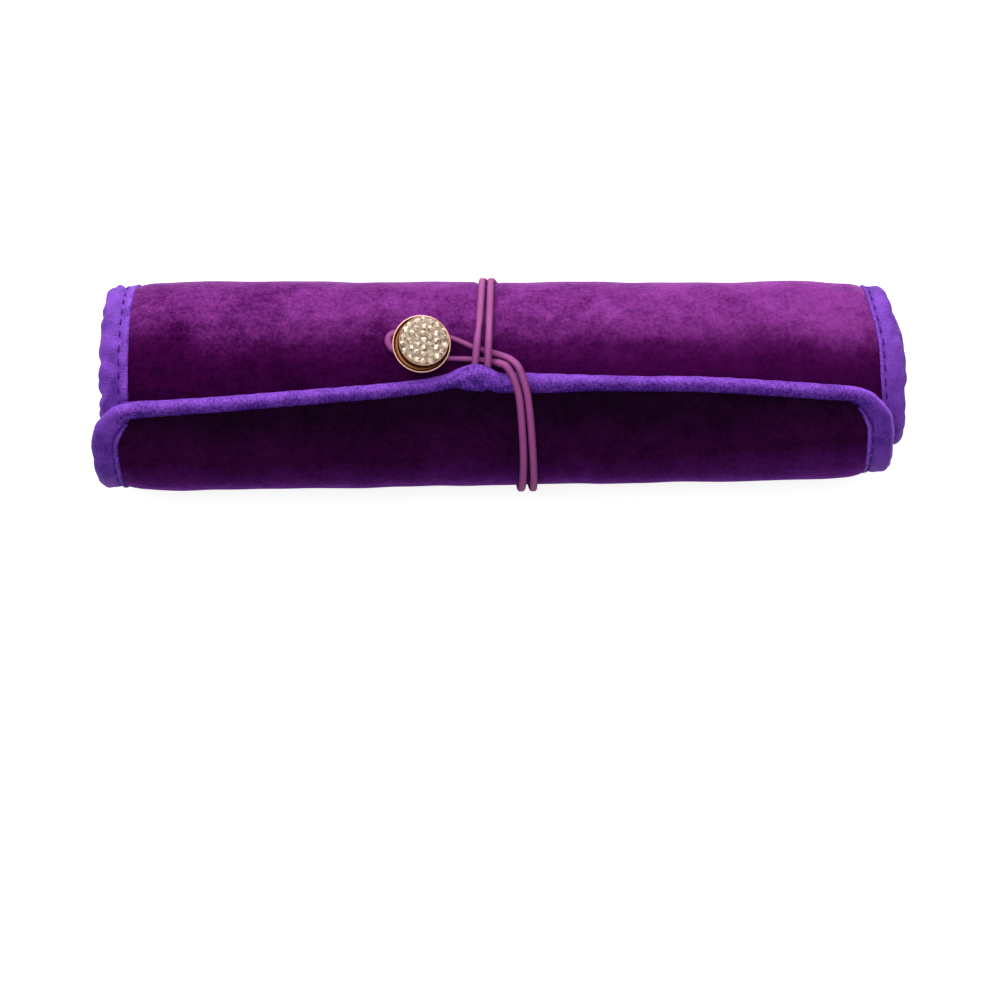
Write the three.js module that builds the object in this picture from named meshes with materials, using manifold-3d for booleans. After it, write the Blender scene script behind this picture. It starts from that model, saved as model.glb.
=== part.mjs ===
// Jewelry roll, rolled up: a padded velvet sheet with bound edges, wound about two turns round a ring bar,
// held shut by a doubled elastic that runs once round it and hooks under a stone-set button.
// Millimetres, X along the roll, Y to the back, Z up, resting on Z = 0.
import * as THREE from "three";
import { mergeVertices } from "three/addons/utils/BufferGeometryUtils.js";
import Module from "manifold-3d";

const wasm = await Module();
wasm.setup();

// Sheet, laid flat
const SHEET_W = 230;
const CORNER_R = 12;
const COVER_T = 0.9;
const WADDING_T = 1.7;
const LINING_T = 0.7;
const LAYER_GAP = 0.3;
const PUFF_W = 11;
const WADDING_EDGE_T = 0.3;

// Free edge of the flap: how far it falls short of the peak at the elastic, along the roll
const FREE_EDGE = [
  [-115, 9.8], [-100, 9.2], [-83, 8.4], [-55, 6.5], [-26, 4.3], [-14, 2.6], [-9.5, 0.9], [-6, 0], [-3.5, 0.1],
  [-1, 0.9], [2, 2.2], [8, 2.1], [19, 2.4], [42, 3.2], [59, 3.4], [87, 5.2], [102, 6.4], [115, 7.4],
];

// Roll
const ROLL_WIDTH = 61.4;
const ROLL_HEIGHT = 46;
const SHEET_GIRTHS = 1.626;
const TURN_GAP_TOP = 1.9;
const TURN_GAP_SIDE = 6.2;
const SIDE_EASE = 0.06;
const EDGE_LEAN = 7.7;
const FLAT_DEPTH = 0.8;
const FLAT_BLEND = 0.2;
const TAPER = 0.0003;
const SKEW = 2.4;
const END_DRAW = 0.06;
const END_DRAW_W = 30;
const FLAP_DRAW = 0.01;

// Flap
const FOLD_U = 52;
const FOLD_GAP = 0.5;

// Bound edge
const TAPE_T = 0.55;
const TAPE_W = 6.2;
const TAPE_CLEAR = 0.52;

// Elastic
const ELASTIC_D = 2.0;
const ELASTIC_CLEAR = 0.45;
const FLOOR_CLEAR = 0.75;
const BELLY_X = 3.5;
const BELLY_TOP = 4;
const BELLY_W = 20;
const ROUTE_UNIT = 1;
const STRANDS_APART = 9;

// Button
const BUTTON_X = -20.6;
const BUTTON_THETA = 345.5;
const BUTTON_LEAN_FRONT = 5;
const BUTTON_LEAN_SIDE = 7;
const BUTTON_R = 8.35;
const DRUM_R = 6.9;
const DRUM_H = 2.7;
const FLANGE_H = 1.1;
const SHANK_R = 1.9;
const SHANK_H = 1.5;
const THREAD_R = 1.5;
const STONE_PITCH = 1.95;
const STONE_RINGS = 3;
const STONE_H = 0.55;

// Ring bar and its press stud
const BAR_R = 6.5;
const BAR_WALL = 0.8;
const BAR_INSET = 29;
const BAR_L = SHEET_W - 2 * BAR_INSET;
const BAR_THETA = 548;
const BAR_LIFT = 2.2;
const BAR_END_R = 5.2;
const STRAP_W = 12;
const STRAP_T = 1.0;
const TAB_L = 19;
const ANCHOR_L = 13;
const SNAP_R = 4.6;
const STUD_R = 1.6;
const SEAT_GAP = 0.3;
const CURVE_CLEAR = 0.85;

// Zip pocket on the flap and open pocket on the roll
const ZIP_U = 40.3;
const ZIP_INSET = 21;
const ZIP_HALF = SHEET_W / 2 - ZIP_INSET;
const COIL_W = 1.6;
const COIL_T = 1.1;
const COIL_SPLIT = 1.2;
const ZIP_TAPE_W = 5.6;
const ZIP_TAPE_T = 0.4;
const POCKET_T = 0.7;
const POCKET_INSET = 12;
const POCKET_HALF = SHEET_W / 2 - POCKET_INSET;
const SLIDER_L = 9;
const SLIDER_W = 6.4;
const SLIDER_SHY = 10;
const SLIDER_X = ZIP_HALF - SLIDER_SHY;
const SLIDER_SEAT = 0.65;
const PLATE_T = 0.45;
const PULL_L = 14;
const PULL_W = 4.4;
const PULL_T = 0.5;
const SLIP_ROWS = [8, 13];

// Sizes that follow from those above; the sheet is cut to a whole millimetre
const girth = (Math.PI * (ROLL_WIDTH + ROLL_HEIGHT)) / 2;
const SHEET_L = Math.round(SHEET_GIRTHS * girth);
const panelT = COVER_T + WADDING_T + LINING_T + 2 * LAYER_GAP;
const edgePinch = WADDING_T - WADDING_EDGE_T;
const pitchTop = panelT + TURN_GAP_TOP;
const pitchSide = panelT + TURN_GAP_SIDE;
const halfWidth = (ROLL_WIDTH + (0.966 - 0.592 * SIDE_EASE) * pitchSide) / 2;
const halfHeight = (ROLL_HEIGHT + FLAT_DEPTH + 0.483 * pitchTop) / 2;
const lean = THREE.MathUtils.degToRad(EDGE_LEAN);
const floorZ = halfHeight - 0.483 * pitchTop - FLAT_DEPTH;
const strandR = ELASTIC_D / 2;
const strandT = strandR + ELASTIC_CLEAR;
const bellyLift = ELASTIC_D + ELASTIC_CLEAR + FLOOR_CLEAR;
const buttonTilt = Math.sin(THREE.MathUtils.degToRad(BUTTON_LEAN_SIDE));
const buttonLift = ELASTIC_D + 2 * ELASTIC_CLEAR + BUTTON_R * buttonTilt;

const lerp = THREE.MathUtils.lerp;
const smooth = THREE.MathUtils.smoothstep;
const rad = THREE.MathUtils.degToRad;

// The roll as a mapping: theta runs inward from the free edge, over the front, under and up the back
function section(theta) {
  const q = theta / (2 * Math.PI);
  const a = halfWidth - pitchSide * q + SIDE_EASE * pitchSide * q * q;
  const b = halfHeight - pitchTop * q;
  const y = -a * Math.sin(theta + lean);
  const z = b * Math.cos(theta + lean);
  const h = Math.max(FLAT_BLEND - Math.abs(z + floorZ), 0) / FLAT_BLEND;
  return [y, Math.max(z, -floorZ) + (h * h * FLAT_BLEND) / 4];
}

function sectionNormal(theta) {
  const [y0, z0] = section(theta - 0.004);
  const [y1, z1] = section(theta + 0.004);
  const l = Math.hypot(y1 - y0, z1 - z0);
  return [(z1 - z0) / l, -(y1 - y0) / l];
}

// Distance along the sheet, measured in its middle layer, against theta
const THETA_STEP = 0.005;
const ARC_SPARE = 20;
const arc = [0];
for (let i = 1; arc[i - 1] < SHEET_L + ARC_SPARE; i += 1) {
  const mid = [i - 1, i].map((k) => {
    const [y, z] = section(k * THETA_STEP);
    const [ny, nz] = sectionNormal(k * THETA_STEP);
    return [y - (ny * panelT) / 2, z - (nz * panelT) / 2];
  });
  arc.push(arc[i - 1] + Math.hypot(mid[1][0] - mid[0][0], mid[1][1] - mid[0][1]));
}

function thetaAt(u) {
  if (u < 0) return (u / arc[1]) * THETA_STEP;
  let lo = 0;
  let hi = arc.length - 1;
  while (hi - lo > 1) {
    const m = (lo + hi) >> 1;
    if (arc[m] <= u) lo = m;
    else hi = m;
  }
  return THETA_STEP * (lo + (u - arc[lo]) / (arc[hi] - arc[lo]));
}

// Point at theta, at x across the sheet and t outward from the velvet's outer face; the bound edges draw the
// flap and the ends of the roll in
function around(x, theta, t) {
  const [y, z] = section(theta);
  const [ny, nz] = sectionNormal(theta);
  const yy = y + ny * t;
  let zz = z + nz * t;
  const drawn = 1 - FLAP_DRAW * (1 - smooth(theta, 0, Math.PI));
  const wx = x * drawn + (SKEW * theta) / (2 * Math.PI);
  const low = THREE.MathUtils.clamp((-zz - BELLY_TOP) / (floorZ - BELLY_TOP), 0, 1.1);
  const off = Math.min(Math.abs(wx - BELLY_X) / BELLY_W, 1);
  zz += bellyLift * (1 - off * off) ** 2 * low;
  const toEnd = Math.max(Math.abs(wx) - SHEET_W / 2 + END_DRAW_W, 0) / END_DRAW_W;
  const k = (1 - TAPER * wx) * (1 - END_DRAW * toEnd * toEnd);
  return new THREE.Vector3(wx, yy * k, (zz + floorZ) * k);
}

function roll(x, u, t) {
  return around(x, thetaAt(u), t);
}

// Colours and finishes
function finish(color, roughness, metalness) {
  return new THREE.MeshStandardMaterial({ color, roughness, metalness });
}
const velvet = finish(0x3a1240, 0.95, 0);
const wadding = finish(0xe9e6e2, 1.0, 0);
const liningVelvet = finish(0x4a1a52, 0.95, 0);
const satin = finish(0x4b3a78, 0.45, 0);
const elasticYarn = finish(0x5d2f5c, 0.8, 0);
const plating = finish(0xb98a6e, 0.28, 1);
const stone = finish(0xe8e2dc, 0.08, 0);
const thread = finish(0x3a1240, 0.9, 0);
const nylon = finish(0x47235a, 0.5, 0);

const group = new THREE.Group();
group.name = "jewelry_roll";

function addGeometry(name, geometry, material) {
  geometry.deleteAttribute("normal");
  geometry.deleteAttribute("uv");
  const solid = mergeVertices(geometry, 1e-4);
  const p = solid.attributes.position;
  const ix = Array.from(solid.index.array);
  const a = new THREE.Vector3();
  const b = new THREE.Vector3();
  const c = new THREE.Vector3();
  let volume = 0;
  for (let i = 0; i < ix.length; i += 3) {
    a.fromBufferAttribute(p, ix[i]);
    b.fromBufferAttribute(p, ix[i + 1]);
    c.fromBufferAttribute(p, ix[i + 2]);
    volume += a.dot(b.cross(c)) / 6;
  }
  if (volume < 0) {
    for (let i = 0; i < ix.length; i += 3) [ix[i], ix[i + 1]] = [ix[i + 1], ix[i]];
    solid.setIndex(ix);
  }
  solid.computeVertexNormals();
  const mesh = new THREE.Mesh(solid, material);
  mesh.name = name;
  group.add(mesh);
  return mesh;
}

function addTriangles(name, positions, indices, material) {
  const geometry = new THREE.BufferGeometry();
  geometry.setAttribute("position", new THREE.Float32BufferAttribute(positions, 3));
  geometry.setIndex(indices);
  return addGeometry(name, geometry, material);
}

function toManifold(geometry) {
  const g = geometry.clone();
  g.deleteAttribute("normal");
  g.deleteAttribute("uv");
  const m = mergeVertices(g, 1e-5);
  return new wasm.Manifold(new wasm.Mesh({
    numProp: 3,
    vertProperties: Float32Array.from(m.attributes.position.array),
    triVerts: Uint32Array.from(m.index.array),
  }));
}

function fromManifold(solid) {
  const mesh = solid.getMesh();
  const g = new THREE.BufferGeometry();
  g.setAttribute("position", new THREE.Float32BufferAttribute(mesh.vertProperties, 3));
  g.setIndex(Array.from(mesh.triVerts));
  return g;
}

function box(x0, x1, y0, y1, z0, z1) {
  const g = new THREE.BoxGeometry(x1 - x0, y1 - y0, z1 - z0);
  return g.translate((x0 + x1) / 2, (y0 + y1) / 2, (z0 + z1) / 2);
}

// Layers of the padded sheet, cut flat and then rolled
const halfW = SHEET_W / 2;

function freeEdgeDrop(x) {
  let i = 0;
  while (i < FREE_EDGE.length - 2 && x > FREE_EDGE[i + 1][0]) i += 1;
  const [xa, da] = FREE_EDGE[i];
  const [xb, db] = FREE_EDGE[i + 1];
  return lerp(da, db, (x - xa) / (xb - xa));
}

function cornerDrop(x) {
  const over = Math.abs(x) - (halfW - CORNER_R);
  return over <= 0 ? 0 : CORNER_R - Math.sqrt(Math.max(CORNER_R ** 2 - over ** 2, 0));
}

const freeEdge = (x) => freeEdgeDrop(x) + cornerDrop(x);
const innerEnd = (x) => SHEET_L - cornerDrop(x);
const flapFold = () => FOLD_U - FOLD_GAP / 2;
const rollFold = () => FOLD_U + FOLD_GAP / 2;

const rounded = (angles) => angles.map((a) => halfW - CORNER_R + CORNER_R * Math.cos(rad(a)));
const flapRim = [...rounded([0, 30, 60, 90]), halfW - CORNER_R - 7];
const rollRim = [...rounded([0, 45, 90]), halfW - CORNER_R - 7];
const middle = [-23, -12, -5, 0, 5, 12, 23].map((x) => x + BELLY_X - SKEW / 2);
const acrossRoll = [...rollRim.map((x) => -x), ...middle, ...rollRim.toReversed()];
const acrossFlap = [...flapRim.map((x) => -x), -58, ...middle, 58, ...flapRim.toReversed()];

// Rows along the sheet: even where it is straight sided, drawn together in the rounded corners
const FLAP_EDGE_ROWS = 5;
const FLAP_EVEN_ROWS = 5;
const ROLL_EVEN_ROWS = 29;
const ROLL_END_ROWS = 4;
const flapEven = FOLD_U / 2;
const rollEven = SHEET_L - CORNER_R - 3;

function spread(from, to, n) {
  return Array.from({ length: n }, (_, j) => lerp(from, to, j / n));
}

function flapRows(x) {
  const nearEdge = spread(freeEdge(x), flapEven, FLAP_EDGE_ROWS);
  const nearFold = spread(flapEven, flapFold(), FLAP_EVEN_ROWS);
  return [...nearEdge, ...nearFold, flapFold()];
}

function rollRows(x) {
  const straight = spread(rollFold(), rollEven, ROLL_EVEN_ROWS);
  const nearEnd = spread(rollEven, innerEnd(x), ROLL_END_ROWS);
  return [...straight, ...nearEnd, innerEnd(x)];
}

function edgeDistance(x, u) {
  return Math.min(halfW - Math.abs(x), u - freeEdge(x), innerEnd(x) - u);
}

function coverFace(x, u) {
  return -edgePinch * (1 - smooth(edgeDistance(x, u), TAPE_W, TAPE_W + PUFF_W));
}

const coverBack = (x, u) => coverFace(x, u) - COVER_T;
const waddingFace = (x, u) => coverBack(x, u) - LAYER_GAP;
const waddingBack = () => -panelT + LINING_T + LAYER_GAP;
const liningFace = () => -panelT + LINING_T;
const liningBack = () => -panelT;

function addSheet(name, xs, rowsAt, outer, inner, material) {
  const positions = [];
  const indices = [];
  const nu = rowsAt(0).length;
  const rows = nu - 1;
  for (const face of [outer, inner]) {
    for (const x of xs) {
      for (const u of rowsAt(x)) positions.push(...roll(x, u, face(x, u)).toArray());
    }
  }
  const at = (k, i, j) => (k * xs.length + i) * nu + j;
  const quad = (a, b, c, d) => indices.push(a, b, c, a, c, d);
  const last = xs.length - 1;
  for (let i = 0; i < last; i += 1) {
    const mirrored = xs[i] + xs[i + 1] > 0;
    for (let j = 0; j < rows; j += 1) {
      const front = [at(0, i, j), at(0, i, j + 1), at(0, i + 1, j + 1), at(0, i + 1, j)];
      const back = [at(1, i, j), at(1, i + 1, j), at(1, i + 1, j + 1), at(1, i, j + 1)];
      for (const ring of [front, back]) {
        if (mirrored) ring.push(ring.shift());
        quad(...ring);
      }
    }
    quad(at(0, i, 0), at(0, i + 1, 0), at(1, i + 1, 0), at(1, i, 0));
    quad(at(0, i, rows), at(1, i, rows), at(1, i + 1, rows), at(0, i + 1, rows));
  }
  for (let j = 0; j < rows; j += 1) {
    quad(at(0, 0, j), at(1, 0, j), at(1, 0, j + 1), at(0, 0, j + 1));
    quad(at(0, last, j), at(0, last, j + 1), at(1, last, j + 1), at(1, last, j));
  }
  return addTriangles(name, positions, indices, material);
}

const insideBinding = (x) => Math.abs(x) <= halfW - TAPE_W - LAYER_GAP;
const onLining = (xs) => [-POCKET_HALF, ...xs.filter((x) => Math.abs(x) < POCKET_HALF - 1), POCKET_HALF];
const waddingRoll = acrossRoll.filter(insideBinding);
const waddingFlap = acrossFlap.filter(insideBinding);
const paddedFlap = (x) => flapRows(x).slice(2);
const paddedRoll = (x) => rollRows(x).slice(0, -2);

addSheet("flap_cover", acrossFlap, flapRows, coverFace, coverBack, velvet);
addSheet("flap_wadding", waddingFlap, paddedFlap, waddingFace, waddingBack, wadding);
addSheet("flap_lining", acrossFlap, flapRows, liningFace, liningBack, liningVelvet);
addSheet("roll_cover", acrossRoll, rollRows, coverFace, coverBack, velvet);
addSheet("roll_wadding", waddingRoll, paddedRoll, waddingFace, waddingBack, wadding);
addSheet("roll_lining", acrossRoll, rollRows, liningFace, liningBack, liningVelvet);

// Satin tape folded in a U over the raw edges
const tapeOut = -edgePinch + TAPE_CLEAR + TAPE_T;
const tapeIn = -panelT - TAPE_CLEAR - TAPE_T;
const tapeEnd = -TAPE_CLEAR - TAPE_T;
const tapeSection = [
  [TAPE_W, tapeOut], [TAPE_W / 2, tapeOut], [tapeEnd + 0.45, tapeOut],
  [tapeEnd, tapeOut - 0.5], [tapeEnd, tapeIn + 0.5],
  [tapeEnd + 0.45, tapeIn], [TAPE_W / 2, tapeIn], [TAPE_W, tapeIn],
  [TAPE_W, tapeIn + TAPE_T], [TAPE_W / 2, tapeIn + TAPE_T], [tapeEnd + TAPE_T, tapeIn + TAPE_T],
  [tapeEnd + TAPE_T, tapeOut - TAPE_T], [TAPE_W / 2, tapeOut - TAPE_T], [TAPE_W, tapeOut - TAPE_T],
];

function addBinding(name, outline, inwardSign, material) {
  const positions = [];
  const indices = [];
  const n = tapeSection.length;
  outline.forEach(([x, u], i) => {
    const [xa, ua] = outline[Math.max(i - 1, 0)];
    const [xb, ub] = outline[Math.min(i + 1, outline.length - 1)];
    const l = Math.hypot(xb - xa, ub - ua);
    const nx = (inwardSign * -(ub - ua)) / l;
    const nu = (inwardSign * (xb - xa)) / l;
    for (const [d, t] of tapeSection) positions.push(...roll(x + nx * d, u + nu * d, t).toArray());
  });
  for (let i = 0; i < outline.length - 1; i += 1) {
    for (let k = 0; k < n; k += 1) {
      const a = i * n + k;
      const b = i * n + ((k + 1) % n);
      if (outline[i][0] + outline[i + 1][0] > 0) indices.push(a, b, a + n, b, b + n, a + n);
      else indices.push(a, b, b + n, a, b + n, a + n);
    }
  }
  const contour = tapeSection.map(([d, t]) => new THREE.Vector2(d, t));
  const end = (outline.length - 1) * n;
  for (const [a, b, c] of THREE.ShapeUtils.triangulateShape(contour, [])) {
    indices.push(a, c, b, a + end, b + end, c + end);
  }
  return addTriangles(name, positions, indices, material);
}

function outlineOf(xs, rowsAt, end) {
  const side = (x) => rowsAt(x).filter((u) => u !== end(x)).map((u) => [x, u]);
  const left = side(-halfW);
  const right = side(halfW);
  const across = xs.map((x) => [x, end(x)]);
  return end === freeEdge
    ? [...left.toReversed(), ...across, ...right]
    : [...left, ...across, ...right.toReversed()];
}

addBinding("flap_binding", outlineOf(acrossFlap, flapRows, freeEdge), 1, satin);
addBinding("roll_binding", outlineOf(acrossRoll, rollRows, innerEnd), -1, satin);

// Doubled elastic, one cord: from the flap's edge over the back, under and up the front, over the flap's
// edge, under its own first run and round the button's thread, then back beside itself.
// Each point is theta in degrees, x in route units, and the height of its middle above the velvet in heights
// of a lying strand.
const ELASTIC_ROUTE = [
  [357.0, -4.85, 2.85], [351, -4.5, 2.95], [344, -4.2, 2.85], [336, -3.8, 2.0], [326, -3.5, 1.15],
  [312, -3.2, 1], [295, -2.9, 1], [275, -2.65, 1], [250, -1.3, 1], [225, 0.6, 1.1], [200, 2.9, 1.25],
  [180, 4.6, 1], [160, 6.0, 1], [140, 7.0, 1], [118, 7.6, 1], [95, 8.5, 1], [70, 8.9, 1],
  [45, 8.4, 1], [25, 7.3, 1], [12, 6.3, 1], [4, 4.9, 1.05], [359.9, 3.3, 4.95],
  [358.3, 2.5, 4.0], [357.0, 1.5, 2.3], [356.0, 0.3, 1.2],
  [355.0, -1.3, 1], [354.6, -3.2, 1], [354.1, -5.9, 1], [353.6, -10.75, 1], [353.3, -16, 1],
  [352.4, -21.5, 1], [350, -26, 1],
  [346.6, -29, 1], [342.6, -29.9, 1], [339.2, -28.6, 1], [337.6, -25, 1], [337.6, -20, 1], [338.8, -15.5, 1],
  [340.8, -11.25, 1], [343.6, -8.2, 1], [346.1, -5.7, 1], [348.1, -3, 1], [349.8, -0.5, 1], [351.5, 1.9, 1.2],
  [353.8, 4.1, 2.1], [356.8, 5.8, 3.8], [359.9, 6.8, 4.95], [4, 7.6, 1.05], [12, 9.0, 1], [25, 10.1, 1],
  [45, 11.2, 1], [70, 11.7, 1], [95, 11.5, 1], [118, 10.6, 1], [140, 9.9, 1], [160, 8.9, 1], [180, 7.5, 1],
  [200, 5.7, 1.25], [225, 3.2, 1.1], [250, 1.25, 1], [275, -0.15, 1], [295, -0.35, 1], [312, -0.5, 1],
  [326, -0.7, 1.15], [336, -0.8, 2.0], [344, -0.95, 2.85], [351, -1.1, 2.95], [357.0, -1.2, 2.85],
];
const ELASTIC_STEPS = 140;
const ELASTIC_SIDES = 7;

function onRoll(x, degrees, height) {
  return around(x - (SKEW * degrees) / 360, rad(degrees), height);
}

const route = ELASTIC_ROUTE.map(([degrees, x, k]) => onRoll(x * ROUTE_UNIT, degrees, k * strandT));
const elasticCurve = new THREE.CatmullRomCurve3(route, false, "centripetal");
elasticCurve.arcLengthDivisions = 1200;
const strandRound = new THREE.Shape(Array.from({ length: ELASTIC_SIDES }, (_, i) => {
  const a = (2 * Math.PI * i) / ELASTIC_SIDES;
  return new THREE.Vector2(strandR * Math.cos(a), strandR * Math.sin(a));
}));
addGeometry("elastic_loop", new THREE.ExtrudeGeometry(strandRound, {
  steps: ELASTIC_STEPS, bevelEnabled: false, extrudePath: elasticCurve,
}), elasticYarn);

const spaced = elasticCurve.getSpacedPoints(600);
const elasticLength = elasticCurve.getLength();
let leastGap = Infinity;
spaced.forEach((p, i) => {
  for (let j = i + 1; j < spaced.length; j += 1) {
    if (((j - i) * elasticLength) / 600 < STRANDS_APART) continue;
    leastGap = Math.min(leastGap, p.distanceTo(spaced[j]) - ELASTIC_D);
  }
});
console.log(`elastic: length ${elasticLength.toFixed(1)} mm, least gap to itself ${leastGap.toFixed(2)} mm`);

// Local frames on the roll: x along it, y along the sheet, z away from the face
function frameOn(degrees, t, inward) {
  const far = SHEET_W * 0.4;
  const origin = onRoll(-far, degrees, t).lerp(onRoll(far, degrees, t), 0.5);
  const ahead = onRoll(far, degrees, t).sub(origin).normalize();
  const [ny, nz] = sectionNormal(rad(degrees));
  const up = new THREE.Vector3(0, ny, nz).multiplyScalar(inward ? -1 : 1);
  const side = new THREE.Vector3().crossVectors(up, ahead).normalize();
  up.crossVectors(ahead, side).normalize();
  return new THREE.Matrix4().makeBasis(ahead, side, up).setPosition(origin);
}

// Body turned about the local z axis, from [radius, height] points
function turned(points, segments) {
  const g = new THREE.LatheGeometry(points.map(([r, h]) => new THREE.Vector2(r, h)), segments);
  return g.rotateX(Math.PI / 2);
}

// Button: plated casting with a flared flange, a drum that carries the stones and a shank below
const buttonFoot = onRoll(BUTTON_X, BUTTON_THETA, 0);
const buttonAxis = new THREE.Vector3(
  Math.sin(rad(BUTTON_LEAN_SIDE)), -Math.sin(rad(BUTTON_LEAN_FRONT)), 1,
).normalize();
const buttonTurn = new THREE.Quaternion().setFromUnitVectors(new THREE.Vector3(0, 0, 1), buttonAxis);
const buttonFrame = new THREE.Matrix4().compose(buttonFoot, buttonTurn, new THREE.Vector3(1, 1, 1));
const drumTop = buttonLift + FLANGE_H + DRUM_H;
const bedR = DRUM_R - 0.4;
const bedZ = drumTop - 0.45;
addGeometry("button_casting", turned([
  [0, buttonLift - SHANK_H], [SHANK_R - 0.3, buttonLift - SHANK_H], [SHANK_R, buttonLift - SHANK_H + 0.3],
  [SHANK_R, buttonLift], [BUTTON_R - 1.0, buttonLift], [BUTTON_R, buttonLift + FLANGE_H - 0.35],
  [BUTTON_R - 0.1, buttonLift + FLANGE_H], [BUTTON_R - 0.5, buttonLift + FLANGE_H],
  [DRUM_R, buttonLift + FLANGE_H - 0.35], [DRUM_R, drumTop - 0.15], [DRUM_R - 0.15, drumTop],
  [bedR, drumTop], [bedR, bedZ], [0, bedZ],
], 30).applyMatrix4(buttonFrame), plating);

// Stones: rings of small brilliants standing in one bed
const bed = turned([
  [0, bedZ + SEAT_GAP], [bedR - SEAT_GAP, bedZ + SEAT_GAP],
  [bedR - SEAT_GAP, drumTop + 0.1], [0, drumTop + 0.25],
], 30);
let stones = toManifold(bed);
for (let ring = 0; ring <= STONE_RINGS; ring += 1) {
  const count = ring === 0 ? 1 : 6 * ring;
  for (let i = 0; i < count; i += 1) {
    const a = (2 * Math.PI * (i + ring / 2)) / count;
    const r = ring * (bedR - SEAT_GAP - STONE_PITCH / 2) / STONE_RINGS;
    const base = drumTop + 0.25 - (0.15 * r) / (bedR - SEAT_GAP);
    const brilliant = new THREE.CylinderGeometry(STONE_PITCH * 0.24, STONE_PITCH * 0.47, STONE_H, 4);
    brilliant.rotateX(Math.PI / 2).rotateZ(a);
    brilliant.translate(r * Math.cos(a), r * Math.sin(a), base + STONE_H / 2 - 0.12);
    stones = stones.add(toManifold(brilliant));
  }
}
addGeometry("button_stones", fromManifold(stones).applyMatrix4(buttonFrame), stone);

// Thread shank that sews the button to the velvet
addGeometry("button_thread", turned([
  [0, 0.7], [THREAD_R + 0.2, 0.7], [THREAD_R - 0.2, (buttonLift - SHANK_H) / 2 + 0.2],
  [THREAD_R, buttonLift - SHANK_H - SEAT_GAP], [0, buttonLift - SHANK_H - SEAT_GAP],
], 12).applyMatrix4(buttonFrame), thread);

// Ring bar: stuffed velvet tube in the core, sewn at its left end, closed by a press stud at its right end
const barFrame = frameOn(BAR_THETA, -panelT, true);
const barZ = BAR_LIFT + BAR_R;
const barHalf = BAR_L / 2;
const alongX = new THREE.Matrix4().makeRotationY(Math.PI / 2).setPosition(-barHalf, 0, barZ);
addGeometry("ring_bar_sleeve", turned([
  [BAR_END_R, 0], [BAR_R, 3], [BAR_R, BAR_L - 3], [BAR_END_R, BAR_L], [BAR_END_R - BAR_WALL, BAR_L],
  [BAR_R - BAR_WALL, BAR_L - 3.3], [BAR_R - BAR_WALL, 3.3], [BAR_END_R - BAR_WALL, 0], [BAR_END_R, 0],
], 16).applyMatrix4(alongX).applyMatrix4(barFrame), liningVelvet);
const fillR = BAR_R - BAR_WALL - 1.5 * SEAT_GAP;
addGeometry("ring_bar_filling", turned([
  [0, 0.6], [fillR - 1.4, 0.6], [fillR, 4], [fillR, BAR_L - 4], [fillR - 1.4, BAR_L - 0.6], [0, BAR_L - 0.6],
], 16).applyMatrix4(alongX).applyMatrix4(barFrame), wadding);
const strapTop = barZ - BAR_END_R + STRAP_T;
const strapLow = barZ - BAR_END_R;
addGeometry("ring_bar_tab", box(
  barHalf + SEAT_GAP, barHalf + SEAT_GAP + TAB_L, -STRAP_W / 2, STRAP_W / 2, strapLow, strapTop,
).applyMatrix4(barFrame), satin);
const foot = toManifold(box(
  -barHalf - SEAT_GAP - ANCHOR_L, -barHalf - SEAT_GAP, -STRAP_W / 2, STRAP_W / 2, strapLow, strapTop,
)).add(toManifold(box(
  -barHalf - SEAT_GAP - ANCHOR_L, -barHalf - SEAT_GAP - ANCHOR_L + 5, -STRAP_W / 4, STRAP_W / 4,
  CURVE_CLEAR, strapLow + 0.1,
)));
addGeometry("ring_bar_anchor", fromManifold(foot).applyMatrix4(barFrame), satin);

// Press stud under the tab
const snapX = barHalf + SEAT_GAP + TAB_L / 2 + 1;
const snapFrame = barFrame.clone().multiply(new THREE.Matrix4().makeTranslation(snapX, 0, 0));
const studTop = CURVE_CLEAR + 0.6;
addGeometry("snap_stud", turned([
  [0, CURVE_CLEAR], [SNAP_R, CURVE_CLEAR], [SNAP_R, studTop - 0.2], [SNAP_R - 0.4, studTop],
  [STUD_R - 0.2, studTop], [STUD_R - 0.2, studTop + 0.7], [STUD_R, studTop + 0.9],
  [STUD_R - 0.4, studTop + 1.3], [0, studTop + 1.3],
], 20).applyMatrix4(snapFrame), plating);
const socketLow = studTop + SEAT_GAP + 0.2;
const socketTop = strapLow - SEAT_GAP;
addGeometry("snap_socket", turned([
  [STUD_R + 0.4, socketLow], [SNAP_R - 0.3, socketLow], [SNAP_R, socketTop], [STUD_R + 0.7, socketTop],
  [STUD_R + 0.4, socketLow],
], 20).applyMatrix4(snapFrame), plating);
addGeometry("snap_cap", turned([
  [0, strapTop + SEAT_GAP], [SNAP_R + 0.4, strapTop + SEAT_GAP], [SNAP_R + 0.4, strapTop + SEAT_GAP + 0.3],
  [SNAP_R - 0.8, strapTop + SEAT_GAP + 0.9], [0, strapTop + SEAT_GAP + 1.1],
], 20).applyMatrix4(snapFrame), plating);

// Open pocket on the roll's lining, with a bound mouth
const liningRoll = onLining(acrossRoll);
const liningFlap = onLining(acrossFlap);
const pocketFace = () => -panelT - SEAT_GAP;
const pocketBack = () => -panelT - SEAT_GAP - POCKET_T;
const slipRows = (x) => rollRows(x).slice(SLIP_ROWS[0], SLIP_ROWS[1] + 1);
addSheet("slip_pocket", liningRoll, slipRows, pocketFace, pocketBack, liningVelvet);
const [mouthFrom, mouthTo] = rollRows(0).slice(SLIP_ROWS[1], SLIP_ROWS[1] + 2);
addSheet("slip_pocket_trim", liningRoll, () => [mouthFrom + SEAT_GAP, mouthTo - SEAT_GAP],
  pocketFace, () => pocketBack() - 0.2, satin);

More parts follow.
